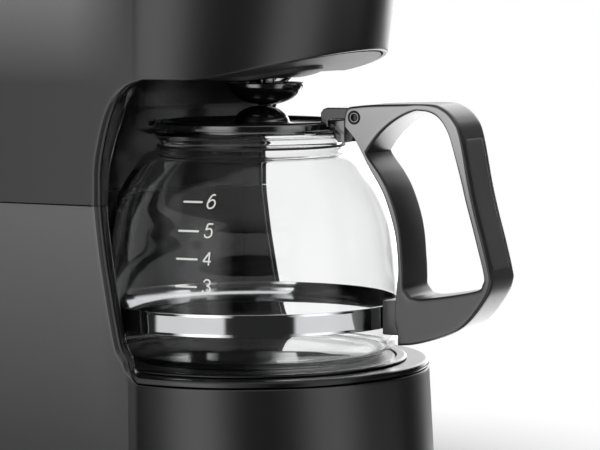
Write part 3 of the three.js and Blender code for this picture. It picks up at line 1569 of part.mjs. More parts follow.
// Switch, with the rocker tilted to its off position
const switchGroup = new THREE.Group();
switchGroup.rotation.z = switchAzimuth;
group.add( switchGroup );
place( switchGroup, 'switch_bezel', switchBezel(), glossPlastic );
const rockerMesh = place( switchGroup, 'power_rocker', rocker(), blackPlastic );
rockerMesh.position.set( switchFace() + seatGap, 0, switchHeight );
rockerMesh.rotation.z = - rockerTilt;

// Heater
place( group, 'hotplate', hotplate(), enamel );
place( group, 'hotplate_seal', plateSeal(), blackRubber );
place( group, 'heating_element', heaterSheath(), aluminium );
place( group, 'heater_water_tube', waterTube(), aluminium );
place( group, 'heater_clamp', heaterClamp(), steel );
place( group, 'clamp_nut', clampNut(), steel );
place( group, 'thermostat', thermostat(), whitePlastic );
place( group, 'thermal_fuse', thermalFuse(), silicone );

// Water ways
place( group, 'water_tank', waterTank(), whitePlastic );
place( group, 'check_valve', checkValve(), whitePlastic );
place( group, 'cold_hose', coldHose(), silicone );
place( group, 'riser_hose', riserHose(), silicone );
place( group, 'outlet_spout', outletSpout(), blackPlastic );

// Brewing parts
place( group, 'top_deck', topDeck(), blackPlastic );
place( group, 'filter_holder', filterHolder(), blackPlastic );
place( group, 'filter_basket', filterBasket(), darkPlastic );
place( group, 'drip_valve', dripValve(), glossPlastic );
place( group, 'valve_seal', valveSeal(), silicone );
place( group, 'valve_spring', valveSpring(), steel );

// Top lid
place( group, 'top_lid', topLid(), blackPlastic );
place( group, 'lid_shower', lidShower(), darkPlastic );
place( group, 'top_lid_pin', lidPin(), steel );

// Carafe, standing on the hotplate
const carafe = new THREE.Group();
carafe.position.z = plateTop() + seatGap;
group.add( carafe );
place( carafe, 'carafe_glass', carafeGlass(), clearGlass );
place( carafe, 'carafe_band', carafeBand(), chrome );
place( carafe, 'neck_ring', neckRing(), blackPlastic );
place( carafe, 'carafe_handle', carafeHandle(), blackPlastic );
place( carafe, 'handle_grip', handleGrip(), darkPlastic );
place( carafe, 'handle_bracket', handleBracket(), blackPlastic );
place( carafe, 'band_screw', bandScrew(), steel );
place( carafe, 'neck_clip', neckClip(), blackPlastic );
place( carafe, 'carafe_lid', carafeLid(), glossPlastic );
place( carafe, 'carafe_lid_pin', carafePin(), steel );

export default group;
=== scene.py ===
import json
import math

import bmesh
import bpy
import numpy as np
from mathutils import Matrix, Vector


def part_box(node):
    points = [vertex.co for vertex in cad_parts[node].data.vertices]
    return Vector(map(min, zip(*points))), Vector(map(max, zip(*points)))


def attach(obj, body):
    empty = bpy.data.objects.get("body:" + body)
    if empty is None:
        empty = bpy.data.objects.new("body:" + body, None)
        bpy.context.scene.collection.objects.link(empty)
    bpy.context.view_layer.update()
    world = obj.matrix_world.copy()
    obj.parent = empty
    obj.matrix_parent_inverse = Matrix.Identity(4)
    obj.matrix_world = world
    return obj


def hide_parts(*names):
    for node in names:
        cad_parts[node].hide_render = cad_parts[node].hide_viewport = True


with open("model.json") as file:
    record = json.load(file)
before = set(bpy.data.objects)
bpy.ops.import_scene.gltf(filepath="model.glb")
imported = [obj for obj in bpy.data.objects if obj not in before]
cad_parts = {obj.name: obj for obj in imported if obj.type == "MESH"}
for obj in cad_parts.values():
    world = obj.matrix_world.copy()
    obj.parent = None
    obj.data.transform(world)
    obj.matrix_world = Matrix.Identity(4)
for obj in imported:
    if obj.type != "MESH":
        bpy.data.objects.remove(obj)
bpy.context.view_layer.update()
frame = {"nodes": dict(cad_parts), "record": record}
nodes = frame["nodes"]
mm = 0.001
pi = math.pi


# Object for a mesh or camera, linked into the scene
def placed(name, data):
    made = bpy.data.objects.new(name, data)
    bpy.context.scene.collection.objects.link(made)
    return made


# Camera at the photograph's angle, as a bearing from the front, a height angle and a target in metres
camera = {"azimuth": -62, "elevation": 4.907, "roll": 0.356, "distance": 1.159, "lens": 166.92,
          "target": (0.00945, -0.01778, 0.10537)}


# Camera on a sphere about the target, rolled about its view
def makeCamera(look):
    a, e, r = (math.radians(look[k]) for k in ("azimuth", "elevation", "roll"))
    back = np.array([math.sin(a) * math.cos(e), -math.cos(a) * math.cos(e), math.sin(e)])
    right = np.array([math.cos(a), math.sin(a), 0])
    up = np.cross(back, right)
    right, up = math.cos(r) * right - math.sin(r) * up, math.sin(r) * right + math.cos(r) * up
    data = bpy.data.cameras.new("studioCamera")
    data.lens, data.sensor_width = look["lens"], 36
    data.clip_start, data.clip_end = 0.01, 100
    eye = placed("studioCamera", data)
    place = np.eye(4)
    place[:3, :3] = np.stack([right, up, back], 1)
    place[:3, 3] = np.array(look["target"]) + look["distance"] * back
    eye.matrix_world = place.T.tolist()
    bpy.context.scene.camera = eye


makeCamera(camera)
bpy.context.scene.view_settings.view_transform = "Standard"
print("camera in place")


# One socket that counts like a number: each operator adds its Math node
class Number:
    def __init__(self, finish, socket):
        self.finish, self.socket = finish, socket

    def math(self, operation, *values):
        return self.finish.number("ShaderNodeMath", dict(enumerate(values)), {"operation": operation})

    def __add__(self, other):
        return self.math("ADD", self, other)

    def __sub__(self, other):
        return self.math("SUBTRACT", self, other)

    def __rsub__(self, other):
        return self.math("SUBTRACT", other, self)

    def __mul__(self, other):
        return self.math("MULTIPLY", self, other)

    __radd__ = __add__
    __rmul__ = __mul__

    # 0 below low, 1 above high, with a straight ramp between
    def above(self, low, high):
        return self.finish.number("ShaderNodeMapRange", {"Value": self, "From Min": low, "From Max": high})

    # 1 from low to high, fading to 0 over the edge's width
    def between(self, low, high, edge):
        return self.above(low - edge, low + edge) * (1 - self.above(high - edge, high + edge))


# The emptied node tree of a material or world, under construction
class Finish:
    def __init__(self, holder):
        holder.use_nodes = True
        self.tree = holder.node_tree
        self.tree.nodes.clear()

    # Node of a kind with values or links for its sockets, and its settings
    def node(self, kind, values=None, settings=None):
        made = self.tree.nodes.new(kind)
        for key, value in (settings or {}).items():
            setattr(made, key, value)
        for key, value in (values or {}).items():
            self.give(made.inputs[key], value)
        return made

    # Links a number, a node's first output or a socket, or sets a plain value
    def give(self, socket, value):
        value = getattr(value, "socket", value)
        if isinstance(value, bpy.types.Node):
            value = value.outputs[0]
        if isinstance(value, bpy.types.NodeSocket):
            self.tree.links.new(value, socket)
        else:
            socket.default_value = value

    def number(self, kind, values=None, settings=None, output=0):
        return Number(self, self.node(kind, values, settings).outputs[output])

    # Colour that goes from first to second as factor goes from 0 to 1
    def blend(self, factor, first, second):
        mix = self.node("ShaderNodeMix", {"Factor": factor, 6: first, 7: second}, {"data_type": "RGBA"})
        return mix.outputs[2]

    def noise(self, place, scale, detail, rough=0.5):
        return self.number("ShaderNodeTexNoise", {"Vector": place, "Scale": scale, "Detail": detail,
                                                  "Roughness": rough})

    def bump(self, height, strength, distance):
        return self.node("ShaderNodeBump", {"Strength": strength, "Distance": distance, "Height": height})

    def parts(self, vector):
        split = self.node("ShaderNodeSeparateXYZ", {0: vector})
        return [Number(self, output) for output in split.outputs]


# Colours as four channels: an even grey, and a colour made lighter or darker
def grey(level):
    return (level, level, level, 1)


def tone(colour, factor):
    return tuple(min(1, c * factor) for c in colour[:3]) + (1,)


# Scales of the noises, as features in a metre
noiseScale = {"drift": 28, "grain": 2600, "rubs": 150, "streaks": 900, "spots": 40}


# Moulded plastic: fine grain in the bump, slow drifts in gloss and faint rub marks; faces turned to the
# sides can carry a painted sheen, a lighter colour that stands in for reflected light, each part of it with
# ramps along an axis (0, 1, 2) between places in mm
def plasticFinish(finish, look):
    places = finish.node("ShaderNodeTexCoord").outputs
    place = places["Object"]
    drift = finish.noise(place, noiseScale["drift"], 3)
    grain = finish.noise(place, noiseScale["grain"], 2, 0.6)
    rubs = finish.noise(place, noiseScale["rubs"], 5, 0.7).above(0.62, 0.8)
    colour = finish.blend(drift, tone(look["colour"], 0.86), tone(look["colour"], 1.14))
    colour = finish.blend(rubs * 0.25, colour, tone(look["colour"], 1.7))
    # Painted sheen: faces turned to the sides get a lighter colour, ramped by height and depth, in place of
    # reflected light
    if "sides" in look:
        across = finish.parts(places["Normal"])[0]
        paintedSheenFaces = across.math("ABSOLUTE", across).above(0.8, 0.97)
        axes = finish.parts(place)
        level = 0
        for amount, *ramps in look["sides"]:
            for axis, low, high in ramps:
                amount = axes[axis].above(low * mm, high * mm) * amount
            level = amount + level
        colour = finish.blend(paintedSheenFaces * level, colour, grey(1))
    roughness = look["roughness"] + (drift - 0.5) * 0.06 + rubs * 0.06
    return colour, roughness, finish.bump(grain, look.get("bump", 0.12), 0.00004)


# Metal: streaks or plain grain in roughness and bump, with slow spots in the colour
def metalFinish(finish, look):
    place = finish.node("ShaderNodeTexCoord").outputs["Object"]
    stretch = finish.node("ShaderNodeMapping", {"Vector": place, "Scale": look.get("stretch", (1, 1, 1))})
    streaks = finish.noise(stretch, noiseScale["streaks"], 3, 0.6)
    spots = finish.noise(place, noiseScale["spots"], 2)
    colour = finish.blend(spots, tone(look["colour"], 0.94), tone(look["colour"], 1.04))
    roughness = look["roughness"] + (streaks - 0.5) * look.get("drift", 0.08) + (spots - 0.5) * 0.03
    return colour, roughness, finish.bump(streaks, look.get("bump", 0.1), 0.00002)


jet = (0.004, 0.004, 0.0043)
finishes = {
    # Housing: painted sheen on the side faces behind the crease, in place of reflected light: an even faint
    # part, a part rising towards the top of the upper housing, and a part rising up the lower housing to the
    # seam
    "black_plastic": (plasticFinish, {
        "colour": jet, "roughness": 0.33, "specular": 0.95, "sides": [
            (0.035, (1, 12, 14)), (0.21, (2, 166, 222), (1, 16, 42)),
            (0.075, (2, 20, 112), (2, 117.6, 117.4), (1, 12, 30))]}),
    "gloss_black_plastic": (plasticFinish, {"colour": jet, "roughness": 0.12, "specular": 1, "ior": 1.8,
                                            "bump": 0.04}),
    # Liner finish: painted reflection of a light card on faces turned to the sides, lighter towards the front
    # and lower down
    "liner_gloss": (plasticFinish, {"colour": jet, "roughness": 0.2, "specular": 0.45, "bump": 0.05,
                                    "sides": [(0.05, (1, 46, 34), (2, 150, 130))]}),
    # Handle: painted sheen on faces turned to the sides, in place of reflected light, lighter towards the top
    # of the flanks
    "satin_black_plastic": (plasticFinish, {"colour": (0.016, 0.016, 0.0168), "roughness": 0.3,
                                            "specular": 0.8,
                                            "sides": [(0.06, (1, 40, 30)), (0.42, (2, 84, 156))]}),
    "pin_steel": (metalFinish, {"colour": (0.05, 0.05, 0.052), "roughness": 0.25, "metallic": 1}),
    "dark_plastic": (plasticFinish, {"colour": (0.02, 0.02, 0.02), "roughness": 0.5}),
    "grip_plastic": (plasticFinish, {"colour": (0.03, 0.03, 0.031), "roughness": 0.5}),
    "black_rubber": (plasticFinish, {"colour": (0.015, 0.015, 0.015), "roughness": 0.75, "specular": 0.35}),
    "silicone": (plasticFinish, {"colour": (0.62, 0.6, 0.56), "roughness": 0.45}),
    "white_plastic": (plasticFinish, {"colour": (0.72, 0.72, 0.69), "roughness": 0.4}),
    "hotplate_enamel": (plasticFinish, {"colour": (0.012, 0.012, 0.013), "roughness": 0.3, "specular": 0.7}),
    "aluminium": (metalFinish, {"colour": (0.66, 0.67, 0.68), "roughness": 0.38, "metallic": 1}),
    "steel": (metalFinish, {"colour": (0.6, 0.6, 0.61), "roughness": 0.3, "metallic": 1}),
    "chrome": (metalFinish, {"colour": (0.86, 0.87, 0.88), "roughness": 0.07, "metallic": 1, "drift": 0.03,
                             "bump": 0.02, "stretch": (1, 1, 40)}),
    "clear_glass": (metalFinish, {"colour": (0.995, 1, 1), "roughness": 0.01, "transmission": 1,
                                  "drift": 0.01, "bump": 0.01, "ior": 1.3}),
}
materials = {}
# Shader sockets that a finish may set beside its colour and roughness
socketOf = {"metallic": "Metallic", "specular": "Specular IOR Level", "transmission": "Transmission Weight",
            "ior": "IOR"}


def makeMaterial(name, build, look):
    material = bpy.data.materials.new(name)
    finish = Finish(material)
    shader = finish.node("ShaderNodeBsdfPrincipled", {
        socket: look[key] for key, socket in socketOf.items() if key in look})
    for key, value in zip(("Base Color", "Roughness", "Normal"), build(finish, look)):
        finish.give(shader.inputs[key], value)
    finish.node("ShaderNodeOutputMaterial", {"Surface": shader})
    materials[name] = material


for name, (build, look) in finishes.items():
    makeMaterial(name, build, look)
slotOf = {row["node"]: row["material_slot"] for row in frame["record"]["subparts"]}
bodyOf = {node: body for body, members in frame["record"]["behaviour"]["bodies"].items() for node in members}
print("finishes made:", len(materials))


# Marks the edges that turn by more than sharp degrees, so the rest shades smoothly
def markEdges(build, sharp):
    limit = math.radians(sharp)
    for face in build.faces:
        face.smooth = True
    for edge in build.edges:
        if edge.is_manifold and edge.calc_face_angle(0) > limit:
            edge.smooth = False


# Works a change into a mesh
def rebuilt(mesh, change):
    build = bmesh.new()
    build.from_mesh(mesh)
    change(build)
    build.to_mesh(mesh)
    build.free()


# Object from points in mm and faces: doubled points merged, faces turned outwards, riding on the node's
# body; for an open sheet, facing gives a place on it and the way it faces there
def makePiece(name, points, faces, node, replaced=None, sharp=35, slotName=None, facing=None,
              finishName=None):
    mesh = bpy.data.meshes.new(name)
    mesh.from_pydata((np.asarray(points) * mm).tolist(), [], [list(map(int, f)) for f in faces])

    def close(build):
        bmesh.ops.remove_doubles(build, verts=build.verts, dist=4e-6)
        bmesh.ops.dissolve_degenerate(build, edges=build.edges, dist=1e-6)
        bmesh.ops.recalc_face_normals(build, faces=build.faces)
        if facing:
            place, way = np.array(facing)
            near = min(build.faces, key=lambda f: np.linalg.norm(place * mm - f.calc_center_median()))
            if np.dot(near.normal, way) < 0:
                bmesh.ops.reverse_faces(build, faces=build.faces)
        markEdges(build, sharp)

    rebuilt(mesh, close)
    piece = placed(name, mesh)
    register(piece, node, (node,) if replaced is None else replaced, slotName, finishName)
    return piece


# The piece's finish, and its body, slot and replaced nodes
def register(piece, node, replaced, slotName=None, finishName=None):
    slotName = slotName or slotOf[node]
    piece.data.materials.clear()
    piece.data.materials.append(materials[finishName or slotName])
    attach(piece, bodyOf[node])
    if replaced:
        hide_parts(*replaced)


# Adds modifiers as pairs of kind and settings, works them in and marks the edges anew
def finishMesh(piece, *steps, sharp=35):
    for kind, settings in steps:
        modifier = piece.modifiers.new(kind.lower(), kind)
        for key, value in settings.items():
            setattr(modifier, key, value)
    bpy.context.view_layer.update()
    graph = bpy.context.evaluated_depsgraph_get()
    done = bpy.data.meshes.new_from_object(piece.evaluated_get(graph))
    piece.modifiers.clear()
    rebuilt(done, lambda build: markEdges(build, sharp))
    old, piece.data = piece.data, done
    bpy.data.meshes.remove(old)


def bevel(width, segments=2, angle=30):
    return "BEVEL", {"width": width * mm, "segments": segments, "limit_method": "ANGLE",
                     "angle_limit": math.radians(angle)}


def thicken(wall):
    return "SOLIDIFY", {"thickness": wall * mm}


# Quads of a rows by columns grid of points, closed round either way where asked
def gridFaces(rows, columns, wrapRows=False, wrapColumns=False, start=0):
    r, c = np.arange(rows if wrapRows else rows - 1), np.arange(columns if wrapColumns else columns - 1)
    row, column = np.meshgrid(r, c, indexing="ij")
    nextRow, nextColumn = (row + 1) % rows, (column + 1) % columns
    quads = np.stack([row * columns + column, row * columns + nextColumn,
                      nextRow * columns + nextColumn, nextRow * columns + column], -1)
    return quads.reshape(-1, 4) + start


# Rows of points one after the other
def join(*rows):
    return np.concatenate(rows)


# Flat or solid points from coordinates that are numbers or arrays
def spots(*axes):
    return np.stack(np.broadcast_arrays(*axes), -1)


# Points round an upright axis: x = r sin turn, y = -r cos turn
def around(radius, turn, z, centre=(0, 0)):
    return spots(centre[0] + radius * np.sin(turn), centre[1] - radius * np.cos(turn), z)


# Several grids (points, wrapRows, wrapColumns) as one list of points and one of faces
def gather(*sheets):
    points, faces, count = [], [], 0
    for sheet, wrapRows, wrapColumns in sheets:
        rows, columns = sheet.shape[:2]
        faces.append(gridFaces(rows, columns, wrapRows, wrapColumns, count))
        points.append(sheet.reshape(-1, 3))
        count += rows * columns
    return join(*points), join(*faces)


# The right half with its mirror image at x = 0
def both(points, faces):
    return join(points, points * [-1, 1, 1]), join(faces, faces[:, ::-1] + len(points))


# Sheet from the rows of its right half
def mirrored(rows):
    return both(*gather((np.stack(rows), False, False)))


# Catmull-Rom line: each span blends its four nearest points by cubic weights
def spline(points, count):
    p = np.asarray(points, float)
    p = join([2 * p[0] - p[1]], p, [2 * p[-1] - p[-2]])
    t = np.linspace(0, len(p) - 3, count)
    i = np.minimum(t.astype(int), len(p) - 4)
    f = (t - i)[:, None]
    a, b, c, d = p[i], p[i + 1], p[i + 2], p[i + 3]
    return 0.5 * (2 * b + (c - a) * f + (2 * a - 5 * b + 4 * c - d) * f ** 2
                  + (3 * b - 3 * c + d - a) * f ** 3)


# The line again as points at even steps of its length
def evenly(line, count):
    reach = join([0], np.cumsum(np.linalg.norm(np.diff(line, axis=0), axis=1)))
    at = np.linspace(0, reach[-1], count)
    return spots(*(np.interp(at, reach, axis) for axis in line.T))


# Unit normals of a flat line, to the right of its direction
def sideNormals(line):
    way = np.gradient(line, axis=0)
    way /= np.linalg.norm(way, axis=1)[:, None]
    return spots(way[:, 1], -way[:, 0])


# Even shares from 0 to 1, and even angles round a full turn
def shares(count):
    return np.linspace(0, 1, count)


def fullTurn(count):
    return np.linspace(0, 2 * pi, count, endpoint=False)


# Profile of radius and height turned about an upright axis
def revolve(profile, count=96, centre=(0, 0)):
    r, z = np.asarray(profile, float).T[..., None]
    return around(r, fullTurn(count), z, centre)


def rectangle(low, high, near, far):
    return [(low, near), (high, near), (high, far), (low, far)]


# Each corner of a closed or open flat line becomes a small arc of the given radius
def softened(line, radius, steps=4, closed=True):
    p = np.asarray(line, float)
    out = []
    for i, corner in enumerate(p):
        if not closed and i in (0, len(p) - 1):
            out.append(corner[None])
            continue
        before, after = p[i - 1] - corner, p[(i + 1) % len(p)] - corner
        a, b = np.linalg.norm(before), np.linalg.norm(after)
        reach = min(radius, a * 0.45, b * 0.45)
        t = shares(steps + 1)[:, None]
        start, end = corner + before / a * reach, corner + after / b * reach
        out.append(start * (1 - t) ** 2 + 2 * corner * t * (1 - t) + end * t ** 2)
    return join(*out)


# Turned body whose profile starts and ends on the axis, with softened corners
def turned(profile, soft=0.5, count=48, centre=(0, 0)):
    return gather((revolve(softened(profile, soft, closed=False), count, centre), False, True))


# Piece turned from a closed section of radius and height, with softened corners
def turnedPiece(name, section, node, soft, count, centre=(0, 0), finishName=None):
    grid = revolve(softened(section, soft), count, centre)
    makePiece(name, *gather((grid, True, True)), node, finishName=finishName)


# Closed flat outline (two axes) carried along the third between two levels, with one face on each end
def prism(outline, axes, span):
    count = len(outline)
    points = np.zeros((2, count, 3))
    points[..., axes] = outline
    points[..., 3 - sum(axes)] = np.array(span)[:, None]
    sides = gridFaces(2, count, False, True).tolist()
    return points.reshape(-1, 3), sides + [list(range(count)), list(range(count, 2 * count))[::-1]]


# Several (points, faces) bodies as one
def merge(*bodies):
    points, faces, count = [], [], 0
    for p, f in bodies:
        points.append(p)
        faces += [[int(i) + count for i in face] for face in f]
        count += len(p)
    return join(*points), faces


# Copy of a CAD node, merged and lightly bevelled, that takes the node's place
def dressed(name, width=0.3, sharp=35):
    piece = placed(name + "_dressed", nodes[name].data.copy())

    def flatten(build):
        bmesh.ops.remove_doubles(build, verts=build.verts, dist=2e-6)
        bmesh.ops.dissolve_limit(build, angle_limit=math.radians(1), verts=build.verts, edges=build.edges)

    rebuilt(piece.data, flatten)
    register(piece, name, (name,))
    finishMesh(piece, *([bevel(width)] if width else []), sharp=sharp)


# Housing sizes: plan, heights and point counts, the bay's outline as shares of waist and height, and the
# edge sections as pairs of distance behind the bay's edge and depth below the skin
body = {"rim": 50, "ceiling": 168, "top": 252, "lidTop": 262, "foot": 2.5, "radius": 73.6,
        "flare": 2.8, "halfWidth": 71.6, "taper": 4, "taperPower": 1.3, "rear": 111.6, "corner": 26,
        "crease": 12, "hoodCentre": 19, "hoodHalf": 71.9, "hoodDepth": 73, "overhang": 8.5,
        "seam": 117.5, "gap": 0.3, "wall": 2.4, "strip": 106, "waist": 32.7, "bayHeight": 118,
        "ceilingEdge": -10, "lift": 10, "liftPower": 1.2, "frontColumns": 46, "curvePoints": 150,
        "blendColumns": 12, "seamColumns": 8, "lowerRows": 34, "upperRows": 36, "leastStep": 0.12,
        "rearStart": 0.8}
bayCurve = [(0.37, 0), (0.51, 0.018), (0.63, 0.052), (0.71, 0.089), (0.77, 0.16), (0.845, 0.271),
            (0.936, 0.424), (1, 0.6), (0.979, 0.712), (0.92, 0.794), (0.835, 0.872), (0.71, 0.936),
            (0.55, 0.975), (0.33, 0.997)]
shellEdge = {
    "side": [(1.4, 0), (0.4, 0), (0.05, 0.06), (-0.15, 0.18), (-1.1, 0.72), (-1.3, 0.88), (-1.45, 1.12),
             (-1.72, 1.72), (-1.74, 1.9), (-1.6, 2.05), (0.2, 2.2), (1.4, 2.4)],
    "rim": [(5, 0), (4.2, 0), (3.7, 0.02), (3.45, 0.08), (3.3, 0.2), (3.2, 0.35), (3.14, 0.5), (3.1, 0.8),
            (3.1, 1), (3.1, 1.4), (3.1, 1.9), (3.1, 2.4)],
    "hood": [(1.8, 0), (1.1, 0), (0.6, 0.04), (0.4, 0.1), (0.22, 0.22), (0.1, 0.4), (0.02, 0.6), (0, 0.85),
             (0, 1.1), (0, 1.5), (0, 1.9), (0.1, 2.4)],
    "seam": [(0.6, 0), (0.4, 0), (0.3, 0), (0.2, 0.02), (0.1, 0.06), (0.04, 0.12), (0, 0.22), (0, 0.5),
             (0, 1), (0, 1.5), (0, 1.9), (0, 2.4)]}
drumCrease = math.sqrt(body["radius"] ** 2 - body["halfWidth"] ** 2)
drumSpan = pi / 2 + math.asin(drumCrease / body["radius"])


# Half width of the column, x = halfWidth - taper share^power
def columnX(y):
    share = np.maximum(0, y - body["crease"]) / (body["rear"] - body["crease"])
    return body["halfWidth"] - body["taper"] * share ** body["taperPower"]


# Drum radius with a foot that flares in front: r = radius + flare (1 - z / rim) cos(share of a quarter turn)
def drumRadius(angle, z):
    flare = body["flare"] * np.clip(1 - z / body["rim"], 0, 1)
    return body["radius"] + flare * np.cos(angle / drumSpan * pi / 2)


# Right side at y: the drum's circle in front of the crease, the column behind it
def drumSide(y, z):
    angle = np.arccos(np.clip(-y / body["radius"], -1, 1))
    rounded = np.sqrt(np.maximum(drumRadius(angle, z) ** 2 - y ** 2, 0))
    return np.where(y < drumCrease, rounded, columnX(y))


# Right side of the lower or the upper half at y
def sideX(y, z, lower):
    return drumSide(y, z) if lower else columnX(y)


# Hood plan: half ellipse x = half sin a, y = centre - depth cos a, whose depth grows with height
def hoodPoint(turn, z):
    share = np.clip((z - body["ceiling"]) / (body["lidTop"] - body["ceiling"]), 0, 1)
    depth = body["hoodDepth"] + body["overhang"] * (1 - (1 - share) ** 2)
    angle = np.arccos((body["hoodCentre"] - body["crease"]) / depth) * turn
    return body["hoodHalf"] * np.sin(angle), body["hoodCentre"] - depth * np.cos(angle)


# Height of the bay's ceiling at y, which sweeps up to the front
def ceilingZ(y):
    reach = body["ceilingEdge"] - body["hoodCentre"] + body["hoodDepth"]
    share = np.maximum(0, body["ceilingEdge"] - y) / reach
    return body["ceiling"] + body["lift"] * share ** body["liftPower"]


# Plan points of the right side and rear, from startY round the corner to the middle of the rear
def rearColumns(startY, sideCount=14, cornerCount=18, rearCount=8):
    radius, cornerY = body["corner"], body["rear"] - body["corner"]
    y = np.linspace(startY, cornerY, sideCount, endpoint=False)
    cornerX = columnX(cornerY) - radius
    a = np.linspace(0, pi / 2, cornerCount)
    corner = spots(cornerX + radius * np.cos(a), cornerY + radius * np.sin(a))
    back = spots(np.linspace(cornerX, 0, rearCount + 1)[1:], body["rear"])
    return join(spots(columnX(y), y), corner, back)


# Height of a housing's edge at the seam between the two
def seamLevel(lower):
    return body["seam"] + body["gap"] / 2 * (-1 if lower else 1)


# Half of the bay's rear edge towards the seam, as (y, z) with growing y, and its normals away from the bay
def bayLine(lower):
    pairs = np.array(bayCurve) * [body["waist"], body["bayHeight"]] + [0, body["rim"]]
    line = evenly(spline(pairs, 400), body["curvePoints"])
    normal = sideNormals(line)
    level = seamLevel(lower)
    keep = line[:, 1] < level if lower else line[:, 1] > level
    line, normal = line[keep], normal[keep]
    end = -1 if lower else 0
    line[end, 1], normal[end] = level, (1, 0)
    if lower:
        hold = np.clip(np.arange(len(line)) / body["seamColumns"], 0, 1)[:, None]
        normal = normal * hold + np.array([0, -1]) * (1 - hold)
        normal /= np.linalg.norm(normal, axis=1)[:, None]
    else:
        line, normal = line[::-1], normal[::-1]
    kept = [len(line) - 1]
    for i in range(len(line) - 2, -1, -1):
        if line[i, 0] < line[kept[-1], 0] - body["leastStep"]:
            kept.append(i)
    return line[kept[::-1]], normal[kept[::-1]]


# Points of (rows, columns, 3) moved level and inwards by an amount for each row and column
def pushedIn(points, amount):
    way = np.gradient(points, axis=1)
    normal = spots(way[..., 1], -way[..., 0], 0)
    normal /= np.linalg.norm(normal, axis=-1, keepdims=True) + 1e-9
    return points - normal * np.broadcast_to(amount, points.shape[:2])[..., None]


# The values with the nearest one to each target moved onto it
def snapped(values, targets):
    values = np.array(values)
    for target in targets:
        values[np.argmin(abs(values - target))] = target
    return values


# Section rows for each column, going from one section to another by the columns' weights
def sections(first, second, weight):
    a, b = np.array(shellEdge[first]), np.array(shellEdge[second])
    mixed = a[:, None] + (b - a)[:, None] * weight[None, :, None]
    return mixed[..., 0], mixed[..., 1]


# Smooth rise from 0 to 1 over the first columns
def ramp(count, length):
    t = np.clip(np.arange(count) / length, 0, 1)
    return t * t * (3 - 2 * t)


# Rows of the folded edge: bay part and seam part of each row, from the edge function, with their depths
def foldedEdge(edge, deep, lower, rear):
    seamFar, seamDeep = np.array(shellEdge["seam"]).T
    seamZ = seamLevel(lower) + (-seamFar if lower else seamFar)
    fold = np.stack([join(*edge(row), spots(*rear.T, seamZ[row])) for row in range(len(deep))])
    return fold, np.concatenate([deep, np.repeat(seamDeep[:, None], len(rear), 1)], 1)


# Outer rows at heights z: the front's points, then the side at the fold's y, ending on the rear's plan
def outerRows(z, front, fold, rear, lower):
    count = front.shape[1]
    y = np.broadcast_to(fold[0, count:, 1], z[:, count:].shape)
    x = sideX(y, z[:, count:], lower)
    x[:, -len(rear):] = rear[:, 0]
    return np.concatenate([front, spots(x, y, z[:, count:])], 1)


# Closed shell from its outer rows and the folded rows of its edge, with an inner skin one wall inside
def shellSheet(main, fold, depth):
    return join(main, pushedIn(fold, depth)[1:-1], pushedIn(main, body["wall"])[::-1])


# Recess of the switch: its bearing and height, the reach of its seat's plane and half its size
switch = {"turn": -20, "height": 27, "face": 71.7, "halfLength": 15.3, "halfHeight": 9.3, "spare": 0.05}


# The points within the switch's recess laid on its seat's plane
def sunk(points):
    a = math.radians(switch["turn"])
    out, along = (math.cos(a), math.sin(a)), (-math.sin(a), math.cos(a))
    reach, side = points[..., :2] @ out, points[..., :2] @ along
    inside = ((reach > 0) & (abs(side) < switch["halfLength"] + switch["spare"])
              & (abs(points[..., 2] - switch["height"]) < switch["halfHeight"] + switch["spare"]))
    return points + np.where(inside, switch["face"] - reach, 0)[..., None] * [*out, 0]


# Lower housing: drum front, column sides and rear, up to the bay's edge or the seam
def lowerShell():
    z0 = body["foot"]
    line, normal = bayLine(True)
    start = math.acos(-line[0, 0] / body["radius"])
    middle = pi / 2 + math.radians(switch["turn"])
    half = math.asin(switch["halfLength"] / body["radius"])
    angle = snapped(np.linspace(0, start, body["frontColumns"])[:-1], [middle - half, middle + half])
    front = len(angle)
    rear = rearColumns(line[-1, 0] + shellEdge["side"][0][0] + body["rearStart"])
    weight = join(np.zeros(front), ramp(len(line), body["blendColumns"]))
    far, deep = sections("rim", "side", weight)

    def edge(row):
        s = far[row]
        low = body["rim"] - s[:front]
        y, z = (line + normal * s[front:, None]).T
        z = np.minimum(z, seamLevel(True))
        return around(drumRadius(angle, low), angle, low), spots(drumSide(y, z), y, z)

    fold, depth = foldedEdge(edge, deep, True, rear)
    top = fold[0, :, 2]
    levels = (switch["height"] + np.array([-1, 1]) * switch["halfHeight"] - z0) / (top[0] - z0)
    share = snapped(shares(body["lowerRows"]), levels)[:, None]
    z = z0 + (top - z0) * share
    low = z[:, :front]
    main = outerRows(z, around(drumRadius(angle, low), angle, low), fold, rear, True)
    return shellSheet(main, fold, depth)


# Upper housing: hood front, column sides and rear, down to the hood's edge, the bay's edge or the seam
def upperShell():
    line, normal = bayLine(False)
    whole = line.copy()
    far0 = shellEdge["side"][0][0]
    keep = (line + normal * far0)[:, 0] > body["crease"] + 0.4
    line, normal = line[keep], normal[keep]
    turn = shares(body["frontColumns"])
    front = len(turn)
    rear = rearColumns(line[-1, 0] + far0 + body["rearStart"])
    weight = join(np.zeros(front), ramp(len(line), body["blendColumns"] * 2))
    far, deep = sections("hood", "side", weight)

    def edge(row):
        s = far[row]
        z = np.full(front, body["ceiling"])
        for _ in range(5):
            x, y = hoodPoint(turn, z)
            onCurve = np.interp(y, whole[:, 0], whole[:, 1], right=body["ceiling"])
            z = np.where(y > whole[0, 0], onCurve, ceilingZ(y)) + s[:front]
        y2, z2 = (line + normal * s[front:, None]).T
        return spots(x, y, z), spots(columnX(y2), y2, np.maximum(z2, seamLevel(False)))

    fold, depth = foldedEdge(edge, deep, False, rear)
    share = shares(body["upperRows"])[:, None]
    z = fold[0, :, 2] + (body["top"] - fold[0, :, 2]) * share
    main = outerRows(z, spots(*hoodPoint(turn, z[:, :front]), z[:, :front]), fold, rear, False)
    return shellSheet(main[::-1], fold, depth)


